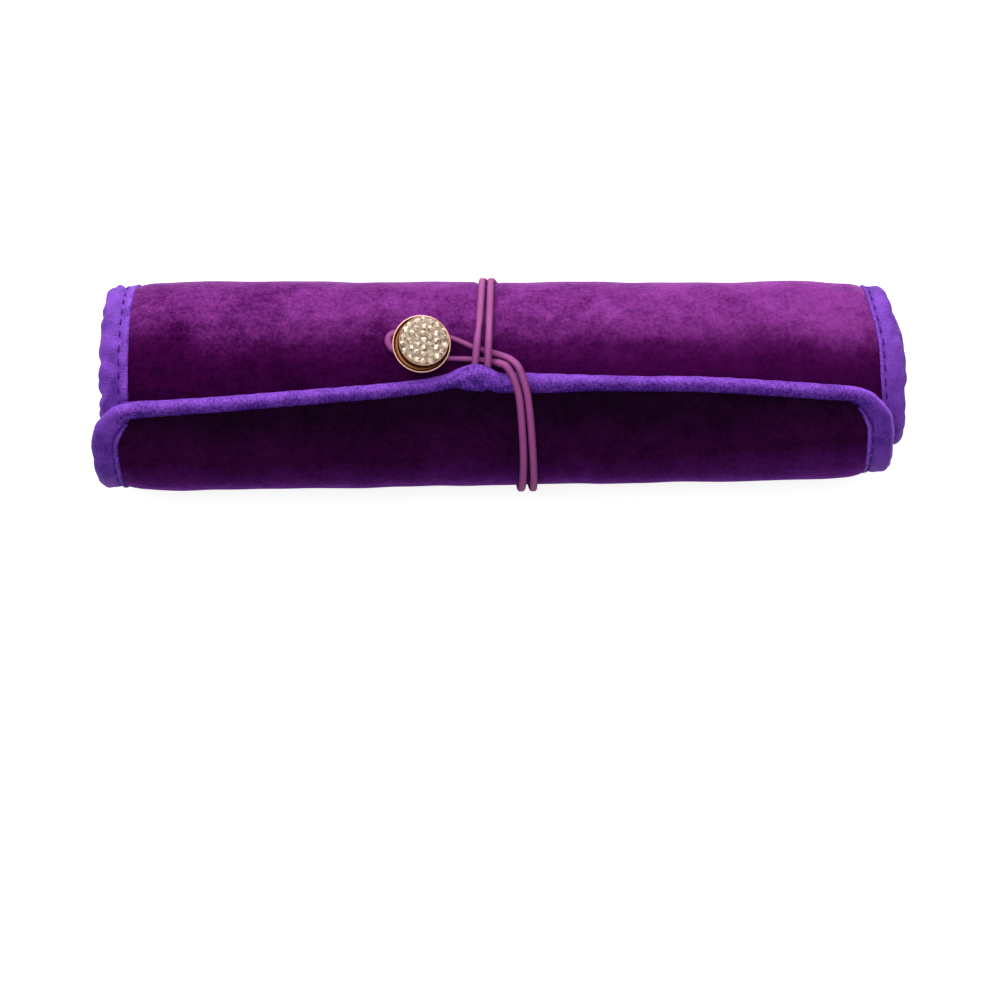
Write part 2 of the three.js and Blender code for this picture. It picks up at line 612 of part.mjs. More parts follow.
// Zip pocket inside the flap: panel, two tapes, two coil rows and end stops
const coilLow = SLIDER_SEAT + PLATE_T + SEAT_GAP;
const tapeLow = coilLow + (COIL_T - ZIP_TAPE_T) / 2;
const coilNear = COIL_SPLIT / 2;
const coilFar = coilNear + COIL_W;
const tapeNear = coilFar + SEAT_GAP;
const tapeFar = tapeNear + ZIP_TAPE_W;
const zipAcross = [-ZIP_HALF, ...acrossFlap.filter((x) => Math.abs(x) < ZIP_HALF - 1), ZIP_HALF];
const depth = (d) => () => -panelT - d;
function zipStrip(name, from, to, rows, low, thickness, material) {
  const rowsAt = () => [...spread(ZIP_U + from, ZIP_U + to, rows), ZIP_U + to];
  addSheet(name, zipAcross, rowsAt, depth(low), depth(low + thickness), material);
}
zipStrip("zip_tape_lining", tapeNear, tapeFar, 2, tapeLow, ZIP_TAPE_T, satin);
zipStrip("zip_tape_pocket", -tapeFar, -tapeNear, 2, tapeLow, ZIP_TAPE_T, satin);
zipStrip("zip_coil_lining", coilNear, coilFar, 1, coilLow, COIL_T, nylon);
zipStrip("zip_coil_pocket", -coilFar, -coilNear, 1, coilLow, COIL_T, nylon);
const pocketMouth = ZIP_U - tapeFar - SEAT_GAP;
const pocketStep = (u) => tapeLow * smooth(u, pocketMouth - 12, pocketMouth);
const pocketTop = (x) => freeEdge(x) + TAPE_W + 2 * SEAT_GAP;
addSheet("zip_pocket", liningFlap, (x) => [...spread(pocketTop(x), pocketMouth, 5), pocketMouth],
  (x, u) => pocketFace() - pocketStep(u), (x, u) => pocketBack() - pocketStep(u), liningVelvet);

const zipTheta = THREE.MathUtils.radToDeg(thetaAt(ZIP_U));
const zipFrame = frameOn(zipTheta, -panelT, true);
for (const [name, side] of [["zip_stop_left", -1], ["zip_stop_right", 1]]) {
  const x0 = side * (ZIP_HALF + SEAT_GAP + 1.1) + (SKEW * zipTheta) / 360;
  addGeometry(name, box(x0 - 1.1, x0 + 1.1, -coilFar, coilFar, coilLow - 0.1, coilLow + COIL_T + 0.1)
    .applyMatrix4(zipFrame), plating);
}

// Zip slider: two plates joined by a nose post, a bail above, and a pull hung on the bail
const topPlate = coilLow + COIL_T + SEAT_GAP;
const bailFoot = topPlate + PLATE_T;
const bailTop = bailFoot + PULL_T + 3 * SEAT_GAP;
const sl = SLIDER_L / 2;
const sw = SLIDER_W / 2;
const sliderParts = [
  box(-sl, sl, -sw, sw, SLIDER_SEAT, SLIDER_SEAT + PLATE_T),
  box(-sl, sl, -sw, sw, topPlate, bailFoot),
  box(sl - 3, sl - 0.4, -0.35, 0.35, SLIDER_SEAT + PLATE_T / 2, topPlate + PLATE_T / 2),
  box(-2.2, -1.4, -0.6, 0.6, bailFoot - 0.1, bailTop),
  box(2.0, 2.8, -0.6, 0.6, bailFoot - 0.1, bailTop),
  box(-2.2, 2.8, -0.6, 0.6, bailTop - 0.1, bailTop + 0.4),
];
const sliderFrame = zipFrame.clone().multiply(new THREE.Matrix4().makeTranslation(SLIDER_X, 0, 0));
const slider = sliderParts.map(toManifold).reduce((a, b) => a.add(b));
addGeometry("zip_slider", fromManifold(slider).applyMatrix4(sliderFrame), plating);
const pullLow = bailFoot + 1.3 * SEAT_GAP;
const pullBlank = toManifold(box(0.2 - PULL_L, 0.2, -PULL_W / 2, PULL_W / 2, pullLow, pullLow + PULL_T));
const pullEye = toManifold(box(-2.7, -0.9, -1.1, 1.1, pullLow - 1, pullLow + PULL_T + 1));
addGeometry("zip_pull", fromManifold(pullBlank.subtract(pullEye)).applyMatrix4(sliderFrame), plating);

// Rest on Z = 0 over the middle of the footprint
group.updateMatrixWorld(true);
const extent = new THREE.Box3().setFromObject(group);
const shift = extent.getCenter(new THREE.Vector3()).setZ(extent.min.z).negate();
group.position.copy(shift);

// Axes of motion, in the finished frame
const foldDegrees = THREE.MathUtils.radToDeg(thetaAt(FOLD_U));
const zipAxis = new THREE.Vector3().setFromMatrixColumn(zipFrame, 0);
const show = (v) => `[${v.toArray().map((n) => n.toFixed(5)).join(", ")}]`;
console.log("shift", show(shift), "size", show(extent.getSize(new THREE.Vector3())));
const foldAt = (x) => onRoll(x, foldDegrees, FOLD_GAP / 2).add(shift);
console.log("flap axis", show(foldAt(CORNER_R - halfW)), show(foldAt(halfW - CORNER_R)));
console.log("button axis", show(buttonFoot.clone().add(shift)), show(buttonAxis));
const sliderFoot = new THREE.Vector3().setFromMatrixPosition(sliderFrame).add(shift);
console.log("zip axis", show(sliderFoot), show(zipAxis));

export default group;
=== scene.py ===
import math

import bpy
import numpy as np
from mathutils import Matrix, Vector


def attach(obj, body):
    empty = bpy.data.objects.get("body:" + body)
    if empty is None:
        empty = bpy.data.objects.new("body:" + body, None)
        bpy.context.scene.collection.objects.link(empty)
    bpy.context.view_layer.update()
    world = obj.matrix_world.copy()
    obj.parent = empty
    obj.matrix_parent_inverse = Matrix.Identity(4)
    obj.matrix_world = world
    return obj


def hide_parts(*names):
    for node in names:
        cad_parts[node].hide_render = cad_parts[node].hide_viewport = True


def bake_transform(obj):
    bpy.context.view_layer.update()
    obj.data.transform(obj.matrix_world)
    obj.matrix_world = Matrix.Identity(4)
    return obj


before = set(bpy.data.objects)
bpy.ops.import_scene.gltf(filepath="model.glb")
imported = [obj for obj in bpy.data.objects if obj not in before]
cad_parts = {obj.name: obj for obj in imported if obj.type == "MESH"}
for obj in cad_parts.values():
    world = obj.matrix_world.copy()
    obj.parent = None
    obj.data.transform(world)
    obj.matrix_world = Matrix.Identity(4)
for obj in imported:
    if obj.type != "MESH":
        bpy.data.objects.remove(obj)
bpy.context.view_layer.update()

# Camera: the closed roll lies across the picture, seen from the front and from well
# above through a short telephoto lens, a little over the middle of the frame.
CAMERA_AWAY = 0.60
aim = Vector((0.0, 0.0, 0.0235))
rise = math.radians(75)
swing = math.radians(-0.5)
camera = bpy.data.objects.new("camera", bpy.data.cameras.new("camera"))
camera.location = aim + CAMERA_AWAY * Vector((
    math.sin(swing) * math.cos(rise), -math.cos(swing) * math.cos(rise), math.sin(rise)))
camera.rotation_euler = (math.pi / 2 - rise, 0.0, swing)
camera.data.lens = 73.5
camera.data.shift_x = -0.0025
camera.data.shift_y = -0.1196
bpy.context.collection.objects.link(camera)
bpy.context.scene.camera = camera


# Studio: a white sweep with daylight all round, one long soft box low behind the roll,
# which rakes the pile of the velvet and leaves the front in shade, and a broad one above.
class Wire:
    """One value in a material's node tree; arithmetic on it adds Math nodes."""

    def __init__(self, tree, socket=None):
        self.tree = tree
        self.socket = socket

    def node(self, kind, inputs=(), out=0, **settings):
        made = self.tree.nodes.new(kind)
        for key, value in settings.items():
            setattr(made, key, value)
        for key, value in dict(inputs).items():
            if isinstance(value, Wire):
                self.tree.links.new(value.socket, made.inputs[key])
            else:
                made.inputs[key].default_value = value
        return Wire(self.tree, made.outputs[out])

    def math(self, operation, a, b):
        return self.node("ShaderNodeMath", {0: a, 1: b}, operation=operation)

    def __add__(self, other):
        return self.math("ADD", self, other)

    def __radd__(self, other):
        return self.math("ADD", other, self)

    def __sub__(self, other):
        return self.math("SUBTRACT", self, other)

    def __rsub__(self, other):
        return self.math("SUBTRACT", other, self)

    def __mul__(self, other):
        return self.math("MULTIPLY", self, other)

    def __rmul__(self, other):
        return self.math("MULTIPLY", other, self)

    def __pow__(self, other):
        return self.math("POWER", self, other)


def new_finish(name, constants):
    material = bpy.data.materials.new(name)
    material.use_nodes = True
    surface = material.node_tree.nodes["Principled BSDF"]
    for key, value in constants.items():
        surface.inputs[key].default_value = value
    return material, Wire(material.node_tree), surface


def noise(wire, scale, detail=3.0, rough=0.55, where=None):
    """Noise in the piece's own space, or in the space of where."""
    where = where or wire.node("ShaderNodeTexCoord", out="Object")
    return wire.node("ShaderNodeTexNoise", {
        "Vector": where, "Scale": scale, "Detail": detail, "Roughness": rough})


def mixed(wire, share, a, b):
    return wire.node("ShaderNodeMix", {0: share, 6: a, 7: b}, out=2, data_type="RGBA")


def plug(wire, surface, **inputs):
    for key, value in inputs.items():
        wire.tree.links.new(value.socket, surface.inputs[key.replace("_", " ")])


world = bpy.data.worlds.new("studio")
bpy.context.scene.world = world
world.use_nodes = True
sky = Wire(world.node_tree)
seen = sky.node("ShaderNodeLightPath", out="Is Camera Ray")
sky_light = world.node_tree.nodes["Background"]
sky_light.inputs["Color"].default_value = (1.0, 1.0, 1.0, 1.0)
sky.tree.links.new((0.66 + 0.44 * seen).socket, sky_light.inputs["Strength"])

bpy.ops.object.select_all(action="DESELECT")
bpy.ops.mesh.primitive_plane_add(size=6)
floor = bpy.context.object
floor.name = "floor"
paper, wire, surface = new_finish("white_paper", {"Roughness": 0.9})
grain = noise(wire, 900.0)
viewed = wire.node("ShaderNodeLightPath", out="Is Camera Ray")
surface.inputs["Emission Strength"].default_value = 1.0
plug(wire, surface,
     Base_Color=mixed(wire, grain, (0.54, 0.54, 0.54, 1.0), (0.58, 0.58, 0.58, 1.0)),
     Emission_Color=mixed(wire, viewed, (0.0, 0.0, 0.0, 1.0), (0.74, 0.74, 0.74, 1.0)))
floor.data.materials.append(paper)


def soft_box(name, place, target, wide, tall, power):
    light = bpy.data.lights.new(name, "AREA")
    light.shape = "RECTANGLE"
    light.size = wide
    light.size_y = tall
    light.energy = power
    holder = bpy.data.objects.new(name, light)
    holder.location = place
    holder.rotation_euler = (Vector(target) - Vector(place)).to_track_quat("-Z", "Y").to_euler()
    bpy.context.collection.objects.link(holder)


soft_box("back_box", (-0.12, 0.85, 0.32), (0.0, 0.0, 0.03), 1.3, 0.30, 12.0)
soft_box("top_box", (-0.2, 0.15, 1.2), (0.0, 0.0, 0.0), 0.9, 0.9, 7.4)
bpy.context.scene.view_settings.view_transform = "Standard"


# Elastic: one mauve braided cord sewn double into the flap's edge. It runs once round
# the roll, up the front, under its own first run and round the button.
TAU = 2 * math.pi
MM = 0.001
ROLL_WIDE, ROLL_HIGH = 61.4, 46
PANEL = 3.9
PITCH_TOP = PANEL + 1.9
PITCH_SIDE = PANEL + 6.2
SIDE_EASE = 0.06
EDGE_LEAN = math.radians(7.7)
FLAT_DEPTH = 0.8
FLAT_BLEND = 0.2
HALF_WIDE = (ROLL_WIDE + (0.966 - 0.592 * SIDE_EASE) * PITCH_SIDE) / 2
HALF_HIGH = (ROLL_HIGH + FLAT_DEPTH + 0.483 * PITCH_TOP) / 2
FLOOR_Z = HALF_HIGH - 0.483 * PITCH_TOP - FLAT_DEPTH
SKEW = 2.4
TAPER = 0.0003
FLAP_DRAW = 0.01
END_FROM, END_RUN, END_DRAW = 85, 30, 0.06
BELLY_X, BELLY_WIDE, BELLY_TOP, BELLY_RISE = 3.5, 20, 4, 3.2
TO_MIDDLE = np.array([-2.95109, 2.31922, 0.0])
FOLD = 52.0


def eased(share):
    return share * share * (3 - 2 * share)


def section(theta):
    """The velvet's outer face across the roll, in mm: a spiral inward, flattened underneath."""
    turns = theta / TAU
    a = HALF_WIDE - PITCH_SIDE * turns + SIDE_EASE * PITCH_SIDE * turns ** 2
    b = HALF_HIGH - PITCH_TOP * turns
    y = -a * np.sin(theta + EDGE_LEAN)
    z = b * np.cos(theta + EDGE_LEAN)
    h = np.maximum(FLAT_BLEND - np.abs(z + FLOOR_Z), 0) / FLAT_BLEND
    return y, np.maximum(z, -FLOOR_Z) + h * h * FLAT_BLEND / 4


def section_normal(theta):
    step = 0.004
    y0, z0 = section(theta - step)
    y1, z1 = section(theta + step)
    length = np.hypot(y1 - y0, z1 - z0)
    return (z1 - z0) / length, -(y1 - y0) / length


def around(x, theta, t):
    """Metres in the frame for x across the sheet, theta inward and t off the velvet, in mm."""
    y, z = section(theta)
    ny, nz = section_normal(theta)
    y = y + ny * t
    z = z + nz * t
    drawn = 1 - FLAP_DRAW * (1 - eased(np.clip(theta / math.pi, 0, 1)))
    wx = x * drawn + SKEW * theta / TAU
    low = np.clip((-z - BELLY_TOP) / (FLOOR_Z - BELLY_TOP), 0, 1.1)
    off = np.minimum(np.abs(wx - BELLY_X) / BELLY_WIDE, 1)
    z = z + BELLY_RISE * (1 - off * off) ** 2 * low
    to_end = np.maximum(np.abs(wx) - END_FROM, 0) / END_RUN
    k = (1 - TAPER * wx) * (1 - END_DRAW * to_end ** 2)
    return (np.stack([wx, y * k, (z + FLOOR_Z) * k], -1) + TO_MIDDLE) * MM


ARC_STEP = 0.005
arc_theta = np.arange(0, 16.0, ARC_STEP)
arc_y, arc_z = section(arc_theta)
arc_ny, arc_nz = section_normal(arc_theta)
arc_y = arc_y - arc_ny * PANEL / 2
arc_z = arc_z - arc_nz * PANEL / 2
arc = np.concatenate([[0], np.cumsum(np.hypot(np.diff(arc_y), np.diff(arc_z)))])


def theta_at(u):
    return np.where(u < 0, u / arc[1] * ARC_STEP, np.interp(u, arc, arc_theta))


def rolled(x, u, t):
    """Metres in the frame for a point of the flat sheet: x across, u in from the peak, t out."""
    return around(x, theta_at(u), t)


def grid_piece(name, columns, rows, place, cloth=(1.0, 1.0)):
    """A grid whose points place(p, q) sets from shares from 0 to 1; its UVs run to cloth, in mm."""
    bpy.ops.object.select_all(action="DESELECT")
    bpy.ops.mesh.primitive_grid_add(x_subdivisions=columns, y_subdivisions=rows, size=2)
    piece = bpy.context.object
    piece.name = name
    piece.data.name = name
    flat = np.empty(3 * len(piece.data.vertices))
    piece.data.vertices.foreach_get("co", flat)
    flat = flat.reshape(-1, 3)
    p = (flat[:, 0] + 1) / 2
    q = (flat[:, 1] + 1) / 2
    piece.data.vertices.foreach_set("co", np.asarray(place(p, q), float).ravel())
    spots = np.empty(2 * len(piece.data.loops))
    piece.data.uv_layers[0].uv.foreach_get("vector", spots)
    spots = spots.reshape(-1, 2) * np.array(cloth)
    piece.data.uv_layers[0].uv.foreach_set("vector", spots.ravel())
    piece.data.update()
    return piece


def closed_tube(name, steps, sides, place, cloth=(1.0, 1.0)):
    """A grid rolled shut across q, with its two ends filled."""
    piece = grid_piece(name, steps, sides, place, cloth)
    bpy.ops.object.mode_set(mode="EDIT")
    bpy.ops.mesh.select_mode(type="VERT")
    bpy.ops.mesh.select_all(action="SELECT")
    bpy.ops.mesh.remove_doubles(threshold=1e-6)
    bpy.ops.mesh.select_all(action="DESELECT")
    bpy.ops.mesh.select_non_manifold()
    bpy.ops.mesh.fill_holes(sides=0)
    bpy.ops.mesh.select_all(action="SELECT")
    bpy.ops.mesh.normals_make_consistent(inside=False)
    bpy.ops.object.mode_set(mode="OBJECT")
    bpy.ops.object.shade_smooth()
    return piece


def smooth_line(points, per_mm):
    """Centripetal Catmull-Rom through points (mm, with any further columns), evenly spaced."""
    padded = np.vstack([2 * points[0] - points[1], points, 2 * points[-1] - points[-2]])
    pieces = []
    for p0, p1, p2, p3 in zip(padded, padded[1:], padded[2:], padded[3:]):
        d0, d1, d2 = (np.linalg.norm((b - a)[:3]) ** 0.5 for a, b in ((p0, p1), (p1, p2), (p2, p3)))
        m1 = ((p1 - p0) / d0 - (p2 - p0) / (d0 + d1) + (p2 - p1) / d1) * d1
        m2 = ((p2 - p1) / d1 - (p3 - p1) / (d1 + d2) + (p3 - p2) / d2) * d1
        s = np.linspace(0, 1, 60, endpoint=False)[:, None]
        pieces.append(
            (2 * s ** 3 - 3 * s ** 2 + 1) * p1 + (s ** 3 - 2 * s ** 2 + s) * m1
            + (3 * s ** 2 - 2 * s ** 3) * p2 + (s ** 3 - s ** 2) * m2)
    line = np.vstack(pieces + [points[-1:]])
    return evenly(line, per_mm)


def run_along(line):
    """Distance from the start of a line to each of its points."""
    return np.concatenate([[0], np.cumsum(np.linalg.norm(np.diff(line, axis=0), axis=1))])


def length_of(line):
    return float(np.linalg.norm(np.diff(line, axis=0), axis=1).sum())


def evenly(line, per_mm):
    run = run_along(line[:, :3])
    even = np.linspace(0, run[-1], max(int(run[-1] * per_mm), 8) + 1)
    return np.stack([np.interp(even, run, column) for column in line.T], -1)


def round_tube(q):
    """Angle round a tube at share q, with its last row laid on its first."""
    return TAU * np.where(q > 0.9999, 0, q)


SQUARED = 0.85


def strand(name, line, wide, thick, sides):
    """A cord along line: columns x, y, z in mm, the way its flat side faces, turn and fullness."""
    centre = line[:, :3]
    along = np.gradient(centre, axis=0)
    along /= np.linalg.norm(along, axis=1)[:, None]
    up = line[:, 3:6] - along * np.sum(along * line[:, 3:6], 1)[:, None]
    up /= np.linalg.norm(up, axis=1)[:, None]
    side = np.cross(up, along)
    steps = len(centre) - 1
    full = line[:, 7] if line.shape[1] > 7 else np.ones(steps + 1)

    def place(p, q):
        i = np.rint(p * steps).astype(int)
        a = round_tube(q)
        groove = 1 - 0.09 * np.exp(-((np.sin(a) - 1) / 0.02) ** 2)
        s = np.sign(np.cos(a)) * np.abs(np.cos(a)) ** SQUARED * wide / 2 * full[i]
        h = np.sign(np.sin(a)) * np.abs(np.sin(a)) ** SQUARED * thick / 2 * groove * full[i]
        return (centre[i] + side[i] * s[:, None] + up[i] * h[:, None]) * MM

    return closed_tube(name, steps, sides, place, (length_of(centre), 1.0))


def srgb(r, g, b):
    def linear(c):
        c /= 255
        return c / 12.92 if c <= 0.04045 else ((c + 0.055) / 1.055) ** 2.4
    return (linear(r), linear(g), linear(b), 1.0)


def ranged(wire, value, low, high, to_low=0.0, to_high=1.0):
    return wire.node("ShaderNodeMapRange", {0: value, 1: low, 2: high, 3: to_low, 4: to_high})


def bumped(wire, height, strength, distance):
    return wire.node(
        "ShaderNodeBump", {"Height": height, "Strength": strength, "Distance": distance}
    )


def cloth_place(wire):
    """The two distances on a piece's own UV map."""
    spot = wire.node("ShaderNodeUVMap")
    return [wire.node("ShaderNodeSeparateXYZ", {0: spot}, out=i) for i in (0, 1)]


ELASTIC_WIDE, ELASTIC_THICK = 2.15, 2.0
LYING_HIGH = 1.45
# Each point: degrees round the winding, x in mm, and height off the velvet in heights of a lying strand
ELASTIC_ROUTE = np.array([
    [360.6, -5.0, 2.3], [357.0, -4.85, 2.75], [351, -4.5, 2.95], [344, -4.2, 2.85], [336, -3.8, 2.0],
    [326, -3.5, 1.15], [312, -3.2, 1], [295, -2.9, 1], [275, -2.65, 1], [250, -1.3, 1],
    [225, 0.6, 1.1], [200, 2.9, 1.25], [180, 4.6, 1], [160, 6.0, 1], [140, 7.0, 1],
    [118, 7.4, 1], [95, 8.0, 1], [70, 8.6, 1], [45, 8.8, 1], [25, 8.3, 1], [12, 7.5, 1],
    [4, 5.9, 1.05], [359.9, 3.9, 4.95], [358.3, 2.5, 4.0], [357.0, 1.5, 2.3],
    [356.0, 0.3, 1.2], [355.0, -1.3, 1], [354.6, -3.2, 1], [354.1, -5.9, 1],
    [353.6, -10.75, 1], [353.3, -16, 1], [352.4, -21.5, 1], [350, -26, 1], [346.6, -28.8, 1],
    [342.0, -29.7, 1], [338.4, -29.0, 1], [336.4, -25.8, 1], [336.9, -20, 1], [338.6, -15.5, 1],
    [340.8, -11.25, 1], [343.6, -8.2, 1], [346.1, -5.7, 1], [348.1, -3, 1], [349.8, -0.5, 1],
    [351.5, 1.9, 1.2], [353.8, 4.1, 2.1], [356.8, 5.8, 3.8], [359.9, 7.2, 4.95], [4, 8.6, 1.05],
    [12, 9.9, 1], [25, 10.8, 1], [45, 11.5, 1], [70, 11.8, 1], [95, 11.5, 1],
    [118, 10.6, 1], [140, 9.9, 1], [160, 8.9, 1], [180, 7.5, 1], [200, 5.7, 1.25],
    [225, 3.2, 1.1], [250, 1.25, 1], [275, -0.15, 1], [295, -0.35, 1], [312, -0.5, 1],
    [326, -0.7, 1.15], [336, -0.8, 2.0], [344, -0.95, 2.85], [351, -1.1, 2.95],
    [357.0, -1.2, 2.75], [360.6, -1.3, 2.3],
])
route_turn = np.radians(ELASTIC_ROUTE[:, 0])
route_sunk = np.interp(ELASTIC_ROUTE[:, 0], [200, 245, 322, 336], [0.35, 1.15, 1.15, 0.35])
route_place = around(
    ELASTIC_ROUTE[:, 1] - SKEW * route_turn / TAU, route_turn,
    ELASTIC_ROUTE[:, 2] * LYING_HIGH - route_sunk) * 1000
route_ny, route_nz = section_normal(route_turn)
route_full = np.interp(ELASTIC_ROUTE[:, 1], [-30, -26, -20, -12, -3, 1],
                       [1.0, 0.9, 0.7, 0.68, 0.82, 1.0])
route_full[(ELASTIC_ROUTE[:, 0] < 336) | (ELASTIC_ROUTE[:, 2] > 2.0)] = 1.0
route = np.column_stack(
    [route_place, 0 * route_ny, route_ny, route_nz, ELASTIC_ROUTE[:, 0], route_full])
elastic_line = smooth_line(route, 2.4)
fold_turn = math.degrees(theta_at(FOLD))
in_front = np.flatnonzero(elastic_line[:, 6] < fold_turn)
first, last = in_front[0], in_front[-1]

elastic_finish, wire, surface = new_finish("mauve_braid", {
    "Roughness": 0.6, "Specular IOR Level": 0.2, "Sheen Weight": 0.12, "Sheen Roughness": 0.4,
    "Sheen Tint": srgb(220, 130, 205)})
along, across = cloth_place(wire)
# A painted highlight along the outer side of the cord, where light falls on it, lightens the braid's
# colour.
painted_outer_highlight = wire.math("MAXIMUM", wire.math("SINE", across * TAU, 0.0), 0.0) ** 3.0
turn = across * 12.0
pick = along * 0.9
ribs = wire.math("SINE", (turn + pick) * TAU, 0.0)
cross_ribs = wire.math("SINE", (turn - pick) * TAU, 0.0)
braid = wire.math("MAXIMUM", ribs, cross_ribs)
grain = noise(wire, 1800.0)
tone = ranged(wire, braid * 0.3 + grain * 0.9 + painted_outer_highlight * 0.75, 0.35, 1.5)
plug(wire, surface,
     Base_Color=mixed(wire, tone, srgb(80, 22, 70), srgb(150, 68, 134)),
     Normal=bumped(wire, braid * 0.6 + grain, 0.45, 0.00012))

elastic_pieces = []
for name, line in (
    ("elastic_back_left", elastic_line[:first + 3]),
    ("elastic_front", elastic_line[first:last + 1]),
    ("elastic_back_right", elastic_line[last - 2:][::-1]),
):
    piece = strand(name, line, ELASTIC_WIDE, ELASTIC_THICK, 16)
    piece.data.materials.append(elastic_finish)
    elastic_pieces.append(piece)
for piece in (elastic_pieces[0], elastic_pieces[2]):
    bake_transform(piece)
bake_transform(elastic_pieces[1])
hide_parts("elastic_loop")


# Velvet: a plum pile sheet, padded behind, drawn down to the bound edges. The flap is
# its outer end, and the rest is wound on inside it.
SHEET_HALF = 115.0
SHEET_LONG = 274.0
CORNER = 12
FREE_EDGE = smooth_line(np.array([
    [-115, 9.8, 0], [-100, 9.2, 0], [-83, 8.4, 0], [-55, 6.5, 0], [-26, 4.3, 0], [-14, 2.6, 0],
    [-9.5, 0.9, 0], [-6, 0, 0], [-3.5, 0.1, 0], [-1, 0.9, 0], [2, 2.2, 0], [8, 2.1, 0], [19, 2.4, 0],
    [42, 3.2, 0], [59, 3.4, 0], [87, 5.2, 0], [102, 6.4, 0], [115, 7.4, 0]]), 4.0)


def corner_drop(x):
    over = np.clip(np.abs(x) - (SHEET_HALF - CORNER), 0, CORNER)
    return CORNER - np.sqrt(CORNER ** 2 - over ** 2)


def free_edge(x):
    return np.interp(x, FREE_EDGE[:, 0], FREE_EDGE[:, 1]) + corner_drop(x)


def inner_end(x):
    return SHEET_LONG - corner_drop(x)


TAPE_END = np.array([
    [-115, 5.6], [-103, 5.2], [-92, 4.6], [-14, 4.3], [-10.4, 5.5], [-7.6, 7.7], [-4.8, 8.5],
    [-2, 7.0], [1, 6.2], [4, 6.2], [12, 6.4], [18, 6.1], [30, 5.0], [40, 4.8], [115, 5.1]])


def tape_side(x, u):
    """How the tape lies along the sides: its width, how far it is set in from the edge of the
    sheet, and how much wider its turned edge lies inside the stitches, which is at the left."""
    grown = eased(np.clip((u - 60) / 30, 0, 1))
    left = grown * (x < 0)
    right = np.interp(u, [110, 120, 130, 138, 146, 156, 170, 182, 192],
                      [0, 1, 1, 0.4, -0.4, -0.5, -1.1, -1.1, 0])
    return 7.0 - 0.9 * grown, 0.7 * left + right * (x > 0), 1.45 * left


def tape_end(x):
    """Width of the tape along the flap's edge: narrow, but broad and bunched at the peak."""
    return np.interp(x, TAPE_END[:, 0], TAPE_END[:, 1])


PAD_CORNER = 7


def past_tape(x, u):
    """How far in from the edge tape, which lies broad at the sides and narrow at the flap's edge."""
    ends = np.minimum(u - free_edge(x), inner_end(x) - u) - tape_end(x)
    sides = SHEET_HALF - np.abs(x) - sum(tape_side(x, u))
    corner = PAD_CORNER - np.hypot(PAD_CORNER - sides, PAD_CORNER - ends)
    return np.where((sides < PAD_CORNER) & (ends < PAD_CORNER), corner, np.minimum(sides, ends))


def ripple(x, u, wave, seed):
    """Smooth uneven swell, about -1 to 1, from a few waves of that length in mm."""
    rng = np.random.default_rng(seed)
    total = 0 * x
    for _ in range(9):
        a = rng.uniform(0, TAU)
        k = TAU / (wave * rng.uniform(0.7, 1.5))
        total = total + np.sin(k * (x * math.cos(a) + u * math.sin(a)) + rng.uniform(0, TAU))
    return total / 4.2


def fuller(x, u):
    """The back of the roll stands a little fuller towards its right end."""
    back = np.clip((u - 70) / 30, 0, 1) * np.clip((158 - u) / 16, 0, 1)
    return 0.9 * np.clip((x - 55) / 50, 0, 1) ** 1.5 * eased(back)


def velvet_face(x, u):
    d = past_tape(x, u)
    s = np.clip((d + 0.7) / 6.5, 0, 1)
    puff = np.sqrt(1 - (1 - s) ** 2)
    loose = np.clip(d / 9, 0, 1)
    swell = 0.22 * ripple(x, u, 34, 3) + 0.08 * ripple(x, u, 12, 4)
    near = np.exp(-np.maximum(d, 0) / 4.5) * puff
    pressed = np.clip((u - 85) / 20, 0, 1) * np.clip((158 - u) / 12, 0, 1)
    dent = 1.0 * np.exp(-((x + 3.2) / 2.8) ** 4) * pressed
    face = -1.4 * (1 - puff) + loose * swell + 0.16 * near * ripple(x, u, 7, 5)
    return face + fuller(x, u) - dent


def apply_all(piece):
    bpy.context.view_layer.objects.active = piece
    for modifier in list(piece.modifiers):
        bpy.ops.object.modifier_apply(modifier=modifier.name)


def solidify(piece, thick):
    modifier = piece.modifiers.new("thickness", "SOLIDIFY")
    modifier.thickness = thick * MM
    modifier.offset = -1.0
    apply_all(piece)
    bpy.ops.object.shade_smooth()


def sheet_piece(name, columns, rows, half, start, end, face, thick, inward=False):
    """A layer of the sheet between rows start(x) and end(x), with its shown face at face(x, u)."""
    def place(p, q):
        x = (1 - 2 * p) * half * (-1 if inward else 1)
        u = start(x) + (end(x) - start(x)) * q
        return rolled(x, u, face(x, u))
    piece = grid_piece(name, columns, rows, place, (2 * half, float(end(0.0) - start(0.0))))
    solidify(piece, thick)
    return piece


def at_row(u):
    """A straight row across the sheet, u mm in from the flap's peak."""
    return lambda x: u + 0 * x


def dressed(piece, finish, body, node=None):
    """Finish a piece and hang it on its body; a piece on "fold" keeps its place in the frame and hangs on
    no body.
    """
    piece.data.materials.append(finish)
    if node:
        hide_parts(node)
    if body == "fold":
        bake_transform(piece)
    else:
        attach(piece, body)


def sheet_pair(kind, node, cells, short, face, thick, finishes, inward=False):
    """A layer of the sheet as its flap and its roll part, cut short mm inside the sheet's edges."""
    columns, flap_rows, roll_rows = cells
    half = SHEET_HALF - short
    flap = sheet_piece("flap_" + kind, columns, flap_rows, half, lambda x: free_edge(x) + short,
                       at_row(FOLD), face, thick, inward)
    roll = sheet_piece("roll_" + kind, columns, roll_rows, half, at_row(FOLD),
                       lambda x: inner_end(x) - short, face, thick, inward)
    dressed(flap, finishes[0], "fold", "flap_" + node)
    dressed(roll, finishes[1], "roll", "roll_" + node)


